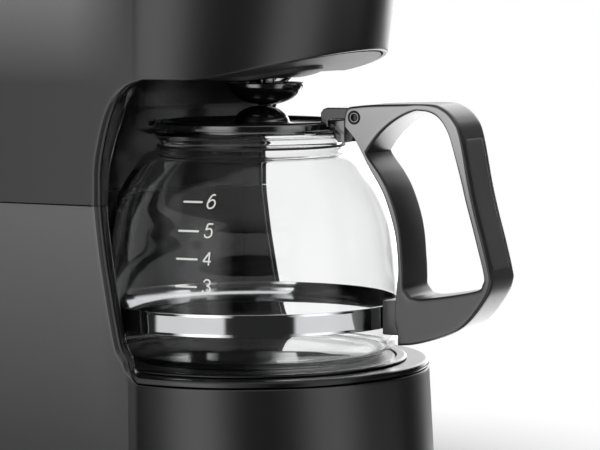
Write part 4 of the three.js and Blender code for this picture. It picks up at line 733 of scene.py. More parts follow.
# Both housings, each as a right half and its mirror image
def shells():
    points, faces = both(*gather((lowerShell(), True, False)))
    makePiece("lower_housing", sunk(points), faces, "lower_shell", sharp=12)
    makePiece("upper_housing", *both(*gather((upperShell(), True, False))), "upper_shell", sharp=12)


shells()
print("housing skins made")

# Bay liner: sections of its lip as pairs of distance behind the bay's edge and depth below the skin,
# the radii of its wall by height, and the factor that widens the lip towards the hood
liner = {"wall": 1.4, "hole": 62, "holeDrop": 2.5, "wallColumns": 40, "floorRows": 6, "seamAway": 8,
         "lipWide": [(50, 1), (118, 1), (152, 2.4), (168, 2.4)],
         "radii": [(50, 67.8), (52, 69.3), (56, 70.5), (70, 70.9), (118, 70.9), (135, 69.6), (152, 66.6),
                   (160, 63.3), (165, 60), (168, 56.5)]}
linerEdge = {
    "side": [(1.6, 3.2), (-0.9, 3.6), (-1.25, 3.85), (-1.36, 4.15), (-1.75, 5.15), (-2, 6), (-2.08, 6.25),
             (-2.02, 6.5), (-1.85, 6.7), (-1.3, 6.8)],
    "rim": [(2.5, 2), (2.5, 0.35), (2.42, 0.1), (2.2, 0), (1.5, 0), (0.85, 0.12), (0.4, 0.4),
            (0.12, 0.85), (0.02, 1.3), (0, 1.7)],
    "hood": [(1.2, 2.6), (0.3, 2.6), (0.1, 2.7), (0, 2.85), (0, 2.95), (0, 3.05), (0, 3.15),
             (0.05, 3.25), (0.15, 3.3), (0.3, 3.35)]}
shellEdge.update({"liner" + key.title(): value for key, value in linerEdge.items()})


# Radius of the liner's wall at a height
def wallRadius(z):
    return np.interp(z, *np.array(liner["radii"]).T)


# Liner half: lip strip along the bay's edge, wall rows level round the back, and in the lower one the floor
def linerSheets(lower):
    line, normal = bayLine(lower)
    start = math.acos(-line[0, 0] / body["radius"]) if lower else 0
    angle = np.linspace(0, start, body["frontColumns"])[:-1] if lower else np.zeros(0)
    front = len(angle)
    blend = ramp(len(line), body["blendColumns"] * (1 if lower else 2))
    far, deep = sections("linerRim" if lower else "linerHood", "linerSide", join(np.zeros(front), blend))
    wide = 1 + (np.interp(line[:, 1], *np.array(liner["lipWide"]).T) - 1) * blend
    for table in (far, deep):
        base = table[3, front:]
        table[3:, front:] = base + (table[3:, front:] - base) * wide
    lip = []
    for s, u in zip(far, deep):
        y, z = (line + normal * s[front:, None]).T
        z = (np.minimum if lower else np.maximum)(z, seamLevel(lower))
        lip.append(join(around(body["radius"] - u[:front], angle, body["rim"] - s[:front]),
                        spots(sideX(y, z, lower) - u[front:], y, z)))
    lip = np.stack(lip)
    end = lip[-1, front:]
    z = end[:, 2]
    radius = np.minimum(wallRadius(z), np.hypot(end[:, 0], end[:, 1]) - 0.02)
    first = np.arctan2(np.sqrt(radius ** 2 - end[:, 1] ** 2), -end[:, 1])
    share = shares(liner["wallColumns"])[:, None]
    turn = first + (pi - first) * share
    arc = around(radius, turn, z)
    arc[-1, :, 0] = 0
    wall = join(end[None], arc)
    sheets = [(lip, False, False), (wall, False, False)]
    if lower:
        outer = join(lip[-1, :front], wall[:, 0])
        turn = np.arctan2(outer[:, 0], -outer[:, 1])
        reach = np.hypot(outer[:, 0], outer[:, 1])
        rows = [around(reach + (liner["hole"] - reach) * part, turn, body["rim"])
                for part in shares(liner["floorRows"])]
        rows[0] = outer
        rows.append(rows[-1] - [0, 0, liner["holeDrop"]])
        floor = np.stack(rows)
        floor[:, -1, 0] = 0
        sheets.append((floor, False, False))
    return sheets


# Both sides of a liner half with their wall, facing the bay
def linerHalf(name, node, lower):
    z = body["seam"] + liner["seamAway"] * (-1 if lower else 1)
    piece = makePiece(name, *both(*gather(*linerSheets(lower))), node, finishName="liner_gloss",
                      facing=((0, wallRadius(z), z), (0, -1, 0)))
    finishMesh(piece, thicken(liner["wall"]), sharp=25)


linerHalf("bay_liner_skin", "bay_liner", True)
linerHalf("bay_liner_upper_skin", "bay_liner_upper", False)

# Underside plate: slab between the housing walls with a recessed boss round the drip valve
underside = {"lift": 0.15, "inset": 2.7, "wall": 2.2, "boss": 24, "drop": 1.8, "recess": 9,
             "recessDepth": 5, "centreY": -7, "side": 13, "rear": 60}


# Rows from the boss's recess out to the hood's outline, each laid on the ceiling's height
def undersidePlate():
    look = underside
    centre = np.array([0, look["centreY"]])
    z = body["ceiling"]
    for _ in range(4):
        x, y = hoodPoint(shares(50), z)
        z = ceilingZ(y)
    sideY = np.linspace(look["side"], look["rear"], 12)
    path = join(spots(x, y), spots(columnX(sideY), sideY))
    path = pushedIn(spots(*path.T, 0)[None], look["inset"])[0, :, :2]
    path = join(path, spots(np.linspace(path[-1, 0], 0, 12)[1:], look["rear"]))
    path[0, 0] = 0
    away = path - centre
    turn = np.arctan2(away[:, 0], -away[:, 1])
    turn[-1] = pi
    way = spots(np.sin(turn), -np.cos(turn))
    way[[0, -1], 0] = 0
    boss, drop, recess = look["boss"], look["drop"], look["recess"]
    rings = [(recess, drop - look["recessDepth"]), (recess, drop - 0.3), (recess + 0.3, drop),
             (boss - 0.7, drop), (boss - 0.2, drop - 0.2), (boss, drop - 0.6), (boss, 0)]
    start = centre + way * (boss + 0.3)
    flats = [(centre + way * radius, low) for radius, low in rings]
    flats += [(start + (path - start) * part, 0) for part in shares(16)]
    rows = [spots(*flat.T, ceilingZ(flat[:, 1]) + look["lift"] - low) for flat, low in flats]
    rows.append(rows[-1] + [0, 0, look["wall"]])
    y = look["centreY"] - 40
    piece = makePiece("underside_panel", *mirrored(rows), "underside_plate",
                      facing=((0, y, ceilingZ(y)), (0, 0, -1)))
    finishMesh(piece, thicken(look["wall"]), sharp=25)


undersidePlate()
print("bay made")

# Drip valve: a bowl on a hub and a ribbed stem with a disc above the seat, the hub and the disc each as
# radius, low and top
valve = {"centre": (0, -7), "low": 155.7, "height": 9, "radius": 15.8, "wall": 1.8, "stem": 4,
         "rib": 1.8, "hub": (7, 156.7, 165), "disc": (7.6, 188.2, 190.2)}


# Bowl: quarter ellipses of radius sin t and depth cos t, turned; stem: a cross-shaped bar
def dripValve():
    look = valve
    low, height, radius = look["low"], look["height"], look["radius"]
    top = low + height
    t = np.linspace(0, pi / 2, 24)
    outer, inner = (spots((radius - wall) * np.sin(t), top - (height - wall) * np.cos(t))
                    for wall in (0, look["wall"]))
    rim = [[radius - 0.25, top + 0.25], [radius - look["wall"] + 0.25, top + 0.25]]
    bowl = gather((revolve(join(outer, rim, inner[::-1]), 96, look["centre"]), False, True))
    hub, disc = (turned(rectangle(0, *look[key]), soft, 48, look["centre"])
                 for key, soft in (("hub", 0.5), ("disc", 0.4)))
    half, arm = look["rib"] / 2, look["stem"]
    quarter = np.array([(half, half), (half, arm), (-half, arm)])
    cross = join(*(quarter @ [[c, s], [-s, c]] for c, s in ((1, 0), (0, 1), (-1, 0), (0, -1))))
    stem = prism(softened(cross, 0.35, 3) + look["centre"], (0, 1), (low + 2, look["disc"][1] + 0.5))
    makePiece("drip_valve_bowl", *merge(bowl, hub, disc, stem), "drip_valve", sharp=40)


dripValve()

# Hotplate with its stud and the soft ring round it
plate = {"radius": 60, "top": 51, "sheet": 1.2, "skirt": 6, "stud": 2.5, "studLow": 36.8,
         "seal": [(60.3, 46), (61.7, 46), (61.7, 50.3), (64.5, 50.3), (64.5, 50.8), (63.5, 51.3),
                  (60.3, 51.3)]}


# Turned disc with a rounded shoulder, a skirt and a stud below, and the turned ring
def hotplate():
    r, top, t = plate["radius"], plate["top"], plate["sheet"]
    skirt, stud, studLow = top - plate["skirt"], plate["stud"], plate["studLow"]
    profile = [(0, top - 0.25), (r - 9, top - 0.25), (r - 8, top - 0.05), (r - 3, top), (r - 0.9, top),
               (r, top - 0.9), (r, skirt), (r - t, skirt), (r - t, top - t - 0.2), (stud, top - t - 0.2),
               (stud, studLow), (0, studLow)]
    makePiece("hotplate_disc", *turned(profile, 0.5, 128), "hotplate", sharp=30)
    turnedPiece("hotplate_ring", plate["seal"], "hotplate_seal", 0.3, 128, finishName="liner_gloss")


hotplate()

# Carafe, heights from its underside; the glass's curve is in shares of belly and neck height
carafe = {"foot": 51.3, "belly": 62.9, "neckHeight": 87, "wall": 1.9, "beak": 12, "beakSpread": 0.42,
          "beakLow": 89.4, "beakHigh": 93.2, "floorEdge": 3.2, "sides": 144}
glassCurve = [(0.85, 0.006), (0.92, 0.03), (0.962, 0.075), (0.988, 0.13), (1, 0.2), (1, 0.3), (0.988, 0.42),
              (0.972, 0.54), (0.938, 0.67), (0.865, 0.8), (0.775, 0.9), (0.705, 0.965)]
neckCurve = [(40.2, 86), (38.3, 87.3), (38, 88.6), (38.3, 90), (39.6, 91.6), (41.1, 92.7)]
bodyCurve = np.array(glassCurve) * [carafe["belly"], carafe["neckHeight"]]
bodyCurve = evenly(spline(join(bodyCurve, neckCurve), 400), 110)


# Outer radius of the glass at a height above the table
def glassRadius(z):
    return np.interp(np.asarray(z) - carafe["foot"], bodyCurve[:, 1], bodyCurve[:, 0])


# Profile of radius and height over the carafe's underside, in absolute heights
def lifted(profile):
    return np.asarray(profile) + [0, carafe["foot"]]


# Glass: outer curve, rolled rim and inner curve one wall inside, pulled out to a beak at the rear
def carafeGlass():
    look = carafe
    base = [(0, 1), (30, 0.8), (45, 0.35), (49.5, 0), (52.4, 0.15)]
    rim = [(41.7, 93.4), (41.6, 93.85), (41.1, 94), (40.2, 93.7), (39.6, 93.1)]
    inner = (bodyCurve - sideNormals(bodyCurve) * look["wall"])[::-1]
    inner = inner[inner[:, 1] > look["floorEdge"]]
    floor = [(54.2, 2.5), (51, 2.1), (45, 2.2), (30, 2.6), (0, 2.8)]
    profile = join(base, bodyCurve, rim, inner[3:], floor)
    t = fullTurn(look["sides"])
    rise = np.clip((profile[:, 1] - look["beakLow"]) / (look["beakHigh"] - look["beakLow"]), 0, 1)
    pull = look["beak"] * (rise ** 1.3)[:, None] * np.exp(-((t - pi) / look["beakSpread"]) ** 2)
    grid = revolve(profile, look["sides"]) + around(pull, t, look["foot"])
    makePiece("carafe_glass_body", *gather((grid, False, True)), "carafe_glass", sharp=50)


carafeGlass()

# Steel band round the belly, a little hollow between its edges, and the ring under the rim
band = {"inner": 63.2, "outer": 64, "hollow": 63.88, "low": 14.8, "high": 23.9,
        "neck": (38.3, 39.2, 87.3, 88.3)}


def bands():
    inner, outer, hollow, low, high = (band[key] for key in ("inner", "outer", "hollow", "low", "high"))
    section = [(inner, low), (outer, low), (outer, low + 0.4), (hollow, low + 1), (hollow, high - 1),
               (outer, high - 0.4), (outer, high), (inner, high)]
    turnedPiece("carafe_band_ring", lifted(section), "carafe_band", 0.25, 160)
    turnedPiece("neck_ring_band", lifted(rectangle(*band["neck"])), "neck_ring", 0.3, 96)


bands()

# Carafe lid: dished disc with a plug, a dome that lifts the drip valve, an arm to the hinge and a beak tab
lid = {"radius": 40, "low": 94.6, "high": 98.2, "dish": 1.6, "plug": 35, "plugLow": 92.9, "dome": 11.8,
       "domeHeight": 7.5, "domeShift": 5, "armHalf": 7.6, "arm": 4.6, "beak": 6, "beakSheet": 2.3}
hinge = {"reach": 54.1, "height": 100.4, "knuckle": 3.6, "pin": 1.8, "pinEnd": 12.35, "ring": 2.9}
pinPlace = (-hinge["reach"], hinge["height"] + carafe["foot"])


# Turned disc and dome (radius cos t, height sin t), with arm and beak tab as softened bars
def carafeLid():
    r, low, high, dish = lid["radius"], lid["low"], lid["high"], lid["high"] - lid["dish"]
    plug, plugLow, dome, half = lid["plug"], lid["plugLow"], lid["dome"], lid["armHalf"]
    profile = [(0, dish), (r - 7, dish), (r - 4.6, dish + 0.1), (r - 3.4, high - 0.15), (r - 2.6, high),
               (r - 0.9, high), (r, high - 0.9), (r, low), (plug, low), (plug, plugLow), (plug - 2, plugLow),
               (plug - 2, dish - 2), (0, dish - 2)]
    disc = turned(lifted(profile), 0.5, 144)
    t = np.linspace(0, pi / 2, 26)
    arc = spots(dome * np.cos(t) ** 0.92, dish + lid["domeHeight"] * np.sin(t))
    foot = [(0, dish - 1), (dome + 1.2, dish - 1), (dome + 1.2, dish + 0.25), (dome + 0.3, dish + 0.5)]
    dome = revolve(lifted(join(foot, arc[2:])), 72, (0, -lid["domeShift"]))
    reach, height, knuckle = hinge["reach"], hinge["height"], hinge["knuckle"]
    top, under = height + knuckle, height + knuckle - lid["arm"]
    t = np.linspace(pi / 2, -pi * 0.75, 24)
    arm = join([(r - 3.4, low + 1.5), (r - 3.4, top - 2.2), (r - 2.2, top - 0.6), (r - 0.4, top)],
               spots(reach + knuckle * np.cos(t), height + knuckle * np.sin(t)),
               [(reach - 4.2, under), (r + 0.8, under), (r + 0.2, under - 0.6), (r + 0.2, low + 1.5)])
    arm = prism(lifted(arm) * [-1, 1], (1, 2), (-half, half))
    tab = softened(rectangle(-half, half, r - 4, r + lid["beak"]), 2.5, 5)
    z = low + carafe["foot"] + 0.3
    tab = prism(tab, (0, 1), (z, z + lid["beakSheet"]))
    dome = gather((dome, False, True))
    piece = makePiece("carafe_lid_top", *merge(disc, dome, arm, tab), "carafe_lid", sharp=30)
    finishMesh(piece, bevel(0.45, 3, 50), sharp=40)


carafeLid()


# Body turned about a level axis along X at y, z from a profile of radius and x
def turnedAcross(profile, y, z, count=32, wrap=False):
    t = fullTurn(count)
    r, x = np.asarray(profile, float).T[..., None]
    return gather((spots(x, y + r * np.cos(t), z + r * np.sin(t)), wrap, True))


# Rod with domed ends
def lidPin():
    r, end = hinge["pin"], hinge["pinEnd"]
    half = [(r, 11.2), (r, end - 0.7), (r * 0.9, end - 0.3), (r * 0.55, end - 0.08), (0, end)]
    profile = [(radius, -x) for radius, x in half[::-1]] + half
    makePiece("lid_pin_rod", *turnedAcross(profile, *pinPlace), "carafe_lid_pin", sharp=30,
              finishName="pin_steel")


lidPin()
print("carafe glass and lid made")

# Printed cup scale on the left of the glass: dashes and slanted numerals as raised ribbons of ink,
# strokes in shares of a numeral's width and height
marks = {"levels": {6: 119.2, 5: 107.9, 4: 96.9, 3: 86}, "dash": (-90.5, -81.5), "numeral": -79.6,
         "wide": 3.4, "high": 5.3, "ink": 0.62, "dashInk": 0.8, "slant": 0.09, "proud": 0.06, "rise": 0.3}
strokes = {
    6: [[(0.86, 0.9), (0.66, 1), (0.38, 0.92), (0.14, 0.64), (0.04, 0.33), (0.16, 0.07), (0.47, 0),
         (0.8, 0.1), (0.94, 0.33), (0.8, 0.56), (0.5, 0.62), (0.2, 0.5), (0.08, 0.36)]],
    5: [[(0.96, 1), (0.65, 1), (0.33, 1)], [(0.33, 1), (0.25, 0.77), (0.18, 0.54)],
        [(0.18, 0.54), (0.45, 0.65), (0.78, 0.6), (0.94, 0.36), (0.82, 0.1), (0.48, 0), (0.18, 0.07),
         (0.04, 0.24)]],
    4: [[(0.72, 0), (0.72, 0.5), (0.72, 1)], [(0.72, 1), (0.37, 0.65), (0.02, 0.3)],
        [(0.02, 0.3), (0.5, 0.3), (1, 0.3)]],
    3: [[(0.08, 0.8), (0.26, 0.96), (0.55, 1), (0.84, 0.86), (0.78, 0.62), (0.45, 0.54)],
        [(0.45, 0.54), (0.84, 0.45), (0.94, 0.24), (0.78, 0.04), (0.44, 0), (0.14, 0.09), (0.02, 0.25)]]}


# Closed ribbon along a line of (arc length, height) laid on the glass, with round ends
def inkRibbon(line, startTurn, level, ink):
    line = evenly(spline(line, 60), 26)
    normal = sideNormals(line)
    t = np.linspace(-1, 1, 26)
    half = ink / 2 * np.sqrt(np.clip(1 - np.maximum(0, (abs(t) - 0.9) / 0.1) ** 2, 0.05, 1))
    edges = np.stack([line + normal * half[:, None] * side for side in (-1, -0.4, 0.4, 1)])
    z = level + edges[..., 1]
    base = glassRadius(z)
    turn = math.radians(startTurn) + edges[..., 0] / glassRadius(level)
    upper, under = (around(base + out, turn, z) for out in (marks["proud"], -marks["proud"] / 2))
    ring = join(upper, under[::-1])
    count = ring.shape[1]
    faces = gridFaces(*ring.shape[:2], True, False).tolist()
    ends = [[row * count + column for row in range(len(ring))] for column in (0, count - 1)]
    return ring.reshape(-1, 3), faces + [ends[0], ends[1][::-1]]


# A dash and a numeral's strokes, sheared by the slant, at each level
def cupScale():
    look, parts = marks, []
    wide, high = look["wide"], look["high"]
    for cup, level in look["levels"].items():
        start, end = look["dash"]
        reach = math.radians(end - start) * glassRadius(level)
        parts.append(inkRibbon([(0, 0), (reach / 2, 0), (reach, 0)], start, level, look["dashInk"]))
        for stroke in strokes[cup]:
            points = [(x * wide + look["slant"] * y * high, (y - 0.5) * high + look["rise"])
                      for x, y in stroke]
            parts.append(inkRibbon(points, look["numeral"], level, look["ink"]))
    makePiece("cup_scale", *merge(*parts), "carafe_glass", replaced=(), sharp=60, slotName="white_plastic")


cupScale()

# Carafe handle: side outlines as reach from the axis and height above the hotplate, worked out from shares
# of its span and top height, with the finger opening inside
handle = {"blockInner": 71.7, "span": 42.3, "pinSpan": 17.6, "top": 106.2, "half": 12, "round": 1.7,
          "slotHalf": 8.3, "slotReach": 58.3, "slotLow": 96.2, "centre": (90, 65), "columns": 300,
          "faceSteps": 7}
outerCurve = [(-0.186, 0.995), (0.326, 1), (0.488, 0.988), (0.617, 0.946), (0.697, 0.875), (0.811, 0.65),
               (0.92, 0.49), (0.993, 0.37), (1, 0.335), (0.955, 0.285), (0.811, 0.205), (0.663, 0.153),
               (0.434, 0.115), (0.191, 0.09), (0.031, 0.083)]
innerCurve = [(1.074, 0.133), (1, 0.162), (1, 0.224), (1.045, 0.3), (1.074, 0.38), (1, 0.51), (0.722, 0.65),
               (0.352, 0.755), (0.148, 0.82), (-0.074, 0.88), (-0.278, 0.911)]
nearCurve = [(0.295, 0.81), (0.392, 0.785), (0.67, 0.727), (0.909, 0.655), (1.125, 0.535), (1.216, 0.4),
              (1.227, 0.305)]
farCurve = [(0.165, 0.27), (0.32, 0.268), (0.825, 0.305), (0.91, 0.335), (0.92, 0.37), (0.851, 0.475),
             (0.738, 0.635), (0.636, 0.79), (0.563, 0.885), (0.477, 0.94), (0.366, 0.968), (0.232, 0.975)]


# Shares of a span and of the top height as points of reach and height, counted from the bracket or the pin
def fromBracket(curve):
    return np.array(curve) * [handle["span"], handle["top"]] + [handle["blockInner"], 0]


def fromPin(curve):
    return np.array(curve) * [handle["pinSpan"], handle["top"]] + [hinge["reach"], 0]


# The handle's outer edge from the lid's knuckle down to the bracket
def handleOuter(count=260):
    k = hinge["knuckle"]
    start = [(hinge["reach"] - k * 4 / 3, hinge["height"]), (hinge["reach"] - k, hinge["height"] + k),
             (hinge["reach"], handle["top"] - 1.3)]
    return evenly(spline(join(start, fromBracket(outerCurve)), 600), count)


# Distance from the handle's centre to a closed loop at each angle
def reachAt(loop, angle):
    away = loop - handle["centre"]
    at, reach = np.arctan2(away[:, 1], away[:, 0]), np.hypot(*away.T)
    return np.interp(angle, at, reach, period=2 * pi)


# Body: at each angle round the finger opening a rounded section from the opening to the outer edge,
# with a slot between two cheeks at the pin
def handleBody():
    look = handle
    outer = join(handleOuter(), spline(fromPin(innerCurve), 160))
    opening = join(spline(fromPin(nearCurve), 90), spline(fromBracket(farCurve), 160))
    angle = np.linspace(-pi, pi, look["columns"], endpoint=False)
    far, near = reachAt(outer, angle), reachAt(opening, angle)
    cos, sin = np.cos(angle), np.sin(angle)
    cx, cz = look["centre"]
    reachStop = np.where(cos < -0.05, (look["slotReach"] - cx) / np.minimum(cos, -0.05), 1e3)
    riseStop = np.where(sin > 0.05, (look["slotLow"] - cz) / np.maximum(sin, 0.05), 1e3)
    cutFar = np.minimum(far, np.maximum(reachStop, riseStop))
    half, slot = look["half"], look["slotHalf"]
    r = np.minimum(look["round"], (far - near) * 0.42)
    t = np.linspace(0, pi / 2, 6)

    # Rounded corner of a side's flank with the outer or inner edge
    def corner(side, edge, way, turns):
        return [(side * (half - r * (1 - np.cos(a))), edge + way * r * (1 - np.sin(a))) for a in turns]

    def flank(side, start, end):
        return [(side * half, start + (end - start) * part) for part in shares(look["faceSteps"])[1:-1]]

    rows = corner(1, far, -1, t) + [(slot, far), (slot, cutFar), (-slot, cutFar), (-slot, far)]
    rows += corner(-1, far, -1, t[::-1]) + flank(-1, far - r, near + r) + corner(-1, near, 1, t)
    rows += corner(1, near, 1, t[::-1]) + flank(1, near + r, far - r)
    grid = np.stack([spots(x, -(cx + reach * cos), cz + reach * sin + carafe["foot"]) for x, reach in rows])
    makePiece("handle_body", *gather((grid, True, True)), "carafe_handle", sharp=32)


# Grip inlay along the outer edge, sunk into the handle's face
grip = {"low": 40, "high": 93, "leastReach": 95, "half": 8.6, "proud": 0.25, "depth": 0.9,
        "border": 0.5, "sunk": 0.25, "halfLength": 26, "endRows": 6, "endWidth": 0.82}


# Pad whose width narrows over its end rows and whose height rises over its border, both by a quarter circle
def gripPad():
    line = handleOuter(500)
    inside = (line[:, 1] > grip["low"]) & (line[:, 1] < grip["high"]) & (line[:, 0] > grip["leastReach"])
    line = evenly(line[inside], 60)
    normal = sideNormals(line)
    normal *= np.sign(normal[len(normal) // 2, 0])
    along, across = np.linspace(-1, 1, len(line))[:, None], np.linspace(-1, 1, 25)
    endRound = np.clip((1 - abs(along)) * len(line) / 2 / grip["endRows"], 0, 1)
    width = grip["half"] * (grip["endWidth"] + (1 - grip["endWidth"]) * np.sqrt(endRound * (2 - endRound)))
    edge = np.minimum((1 - abs(across)) * width, (1 - abs(along)) * grip["halfLength"]) / grip["border"]
    edge = np.clip(edge, 0, 1)
    height = (grip["proud"] + grip["sunk"]) * np.sqrt(edge * (2 - edge)) - grip["sunk"]
    x = across * width

    def sheet(level):
        flat = line[:, None] + normal[:, None] * level[..., None]
        return spots(x, -flat[..., 0], flat[..., 1] + carafe["foot"])

    top, low = sheet(height), sheet(np.full(height.shape, -grip["depth"]))
    rim = [join(g[0, :-1], g[:-1, -1], g[-1, :0:-1], g[:0:-1, 0]) for g in (top, low)]
    makePiece("grip_pad", *gather((top, False, False), (low, False, False), (np.stack(rim), False, True)),
              "handle_grip", sharp=40)


handleBody()
gripPad()


# Black ring round the pin's head on each cheek
def pinRings():
    inner, outer = hinge["pin"] + 0.1, hinge["ring"]
    section = np.array([(inner, -0.6), (inner, 0.02), (outer - 0.5, 0.22), (outer - 0.1, 0.12), (outer, -0.1),
                        (outer - 0.2, -0.6)]) + [0, handle["half"]]
    rings = [turnedAcross(section * [1, side], *pinPlace, 40, True) for side in (-1, 1)]
    makePiece("pin_rings", *merge(*rings), "neck_clip", replaced=(), sharp=40, finishName="black_rubber")


pinRings()
for name, width in {"handle_bracket": 0.8, "band_screw": 0.3, "neck_clip": 0.5}.items():
    dressed(name, width)
print("handle made")

# Lid over tank and filter: side wall with a rounded top edge, closed towards the middle plane
topLid = {"low": 252.3, "high": 262, "round": 3, "startY": 13, "rearY": 99, "wall": 2.4,
          "tabHalf": 15, "tabReach": 4, "tabSheet": 3.6, "tabInner": [0, 2]}
lidHinge = {"y": 100.6, "z": 258.3, "radius": 3.4, "pin": 1.5, "barrels": [(12.3, 50.7), (-50.7, -12.3)],
            "ears": [(-12, 12), (51, 57), (-57, -51)], "shortEar": 6.5, "pinSpan": (-57, 54.2)}


# Right half of the lid's outline at a height: hood plan, side and corner as far as its rear edge
def lidPlan(z):
    startY, rearY = topLid["startY"], topLid["rearY"]
    rear = rearColumns(startY, 30, 40, 2)
    fine = rearColumns(startY, 30, 400, 2)[30:-2]
    return join(spots(*hoodPoint(shares(60), z)), rear[rear[:, 1] < rearY - 0.2],
                [(np.interp(rearY, fine[:, 1], fine[:, 0]), rearY)])


# Level bar round the hinge's axis with a web beside it, over a span of x
def knuckle(web, span):
    t, radius = fullTurn(32), lidHinge["radius"]
    circle = spots(lidHinge["y"] + radius * np.cos(t), lidHinge["z"] + radius * np.sin(t))
    return [prism(circle, (1, 2), span), prism(web, (1, 2), span)]


# Cover with its rounded edge, and the opening tab and hinge barrels on it
def lidTop():
    look = topLid
    r, high = look["round"], look["high"]
    rows = [spots(*lidPlan(z).T, z) for z in np.linspace(look["low"], high - r, 5)]
    base = rows[-1]
    for a in np.linspace(0, pi / 2, 9)[1:]:
        row = pushedIn(base[None], r * (1 - math.cos(a)))[0]
        row[:, 2] = high - r * (1 - math.sin(a))
        row[-1, 1], row[0, 0] = look["rearY"], 0
        rows.append(row)
    edge = rows[-1]
    rows += [edge * [1 - part, 1, 1] for part in shares(12)[1:]]
    piece = makePiece("top_lid_cover", *mirrored(rows), "top_lid", facing=((5, 20, high), (0, 0, 1)))
    finishMesh(piece, thicken(look["wall"]), sharp=30)
    front = lidPlan(look["low"])
    front = front[front[:, 0] < look["tabHalf"]]
    out = front - [0, look["tabReach"]]
    inner, flip = front + look["tabInner"], [-1, 1]
    outline = join(inner[::-1] * flip, inner[1:], out[::-1], out[1:] * flip)
    tab = prism(softened(outline, 1.5, 3), (0, 1), (look["low"], look["low"] + look["tabSheet"]))
    y, z = lidHinge["y"], lidHinge["z"]
    web = [(y - 4, z), (y, z), (y + 0.2, z + 3.2), (y - 4, z + 3.2)]
    parts = [part for span in lidHinge["barrels"] for part in knuckle(web, span)]
    fittings = makePiece("top_lid_fittings", *merge(tab, *parts), "top_lid", replaced=())
    finishMesh(fittings, bevel(0.35))


# Strip behind the lid and the ears that carry its hinge
def lidCarrier():
    rear = rearColumns(40, 6, 24, 10)
    rear = rear[rear[:, 1] > body["strip"]]
    z = np.array([[body["top"] - 1.5], [body["lidTop"] - 0.6], [body["lidTop"] - 0.2], [body["lidTop"]]])
    inset = np.array([[0], [0], [0.2], [0.6]])
    outer = spots(*rear.T[:, None], z)
    ring = join(pushedIn(outer, inset), pushedIn(outer, body["wall"] - inset)[::-1])
    ring[:, -1, 0] = 0
    points, faces = gather((ring, True, False))
    faces = faces.tolist() + [[row * len(rear) for row in range(len(ring))]]
    strip = merge((points, faces), (points * [-1, 1, 1], faces))
    makePiece("rear_strip", *strip, "upper_shell", replaced=())
    y, z = lidHinge["y"], lidHinge["z"]
    low, parts = z - lidHinge["radius"], []
    for span in lidHinge["ears"]:
        wall = body["rear"] - body["wall"] - (lidHinge["shortEar"] if sum(span) else 0)
        web = [(y, low), (wall + 0.5, low), (wall + 0.5, z - 12), (wall + 1.2, z - 12), (wall + 1.2, z),
               (y, z)]
        parts += knuckle(web, span)
    finishMesh(makePiece("hinge_ears", *merge(*parts), "upper_shell", replaced=()), bevel(0.35))
    a, b = lidHinge["pinSpan"]
    r = lidHinge["pin"]
    profile = [(0, a), (r - 0.3, a), (r, a + 0.3), (r, b - 0.3), (r - 0.3, b), (0, b)]
    makePiece("hinge_rod", *turnedAcross(profile, y, z), "top_lid_pin", sharp=30)


lidTop()
lidCarrier()

# Filter holder and basket as turned sections of radius and height about the filter's axis
brew = {"centre": (0, -7), "ribs": 18, "ribWide": 1.2, "ribSpan": (7.5, 33.5), "ribRise": (196.5, 200),
        "basket": [(5, 195), (37, 195), (45, 247.2), (50, 247.2), (50, 248.9), (43, 248.9), (35, 197),
                   (5, 197)],
        "holder": [(4.6, 176.5), (8, 176.5), (8, 180), (41, 188), (48.5, 244.8), (51.5, 244.8), (51.5, 246.6),
                   (46.5, 246.6), (39.3, 190), (10, 182), (4.6, 182)]}


# Turned cone and cup, and the ribs on the cup's floor as bars turned round its axis
def filterParts():
    turnedPiece("filter_holder_cone", brew["holder"], "filter_holder", 0.5, 128, brew["centre"])
    parts = [gather((revolve(softened(brew["basket"], 0.5), 128, brew["centre"]), True, True))]
    half = brew["ribWide"] / 2
    box, faces = prism(rectangle(*brew["ribSpan"], -half, half), (0, 1), brew["ribRise"])
    for turn in fullTurn(brew["ribs"]):
        c, s = math.cos(turn), math.sin(turn)
        parts.append((box @ np.array([[c, s, 0], [-s, c, 0], [0, 0, 1]]) + [*brew["centre"], 0], faces))
    makePiece("filter_basket_cup", *merge(*parts), "filter_basket", sharp=30)


filterParts()

# Rubber feet and the cord inlet as turned solids
foot = [(0, 0.3), (5.6, 0.3), (6.2, 0), (7.5, 0), (7.95, 0.45), (7.9, 1), (7.5, 2.7), (2.6, 2.7),
        (2.6, 5.4), (0, 5.4)]
for i in range(1, 5):
    middle = np.mean(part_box(f"foot_{i}"), 0)[:2] / mm
    makePiece(f"rubber_foot_{i}", *turned(foot, 0.25, 48, middle), f"foot_{i}")
gland = {"x": -30, "z": 19, "section": [
    (3.6, 106.4), (8.4, 106.4), (8.4, 108.5), (6, 108.5), (6, 111.9), (8.4, 111.9), (8, 113.2),
    (6.6, 114), (3.9, 114), (3.6, 113.6)]}


# Section of radius and y turned about a level axis along y
def cordInlet():
    t = fullTurn(48)
    r, y = softened(gland["section"], 0.3).T[..., None]
    grid = spots(gland["x"] + r * np.cos(t), y, gland["z"] + r * np.sin(t))
    makePiece("cord_inlet", *gather((grid, True, True)), "cord_gland", sharp=30)


cordInlet()

# The rest keeps its CAD form with bevelled edges, given as the bevel's width; round hoses shade smoothly
edges = {"bottom_cover": 0.4, "switch_bezel": 0.5, "power_rocker": 0.5, "top_deck": 0.3, "lid_shower": 0.3,
         "water_tank": 0.4, "outlet_spout": 0.3, "heater_clamp": 0.2, "clamp_nut": 0.3, "thermostat": 0.3}
for name, width in edges.items():
    dressed(name, width, 20)
smooth = ["heating_element", "heater_water_tube", "cold_hose", "riser_hose", "valve_spring", "check_valve",
          "valve_seal", "thermal_fuse"]
for name in smooth + [f"cover_screw_{i}" for i in range(1, 5)]:
    dressed(name, 0, 62)
print("small parts made")

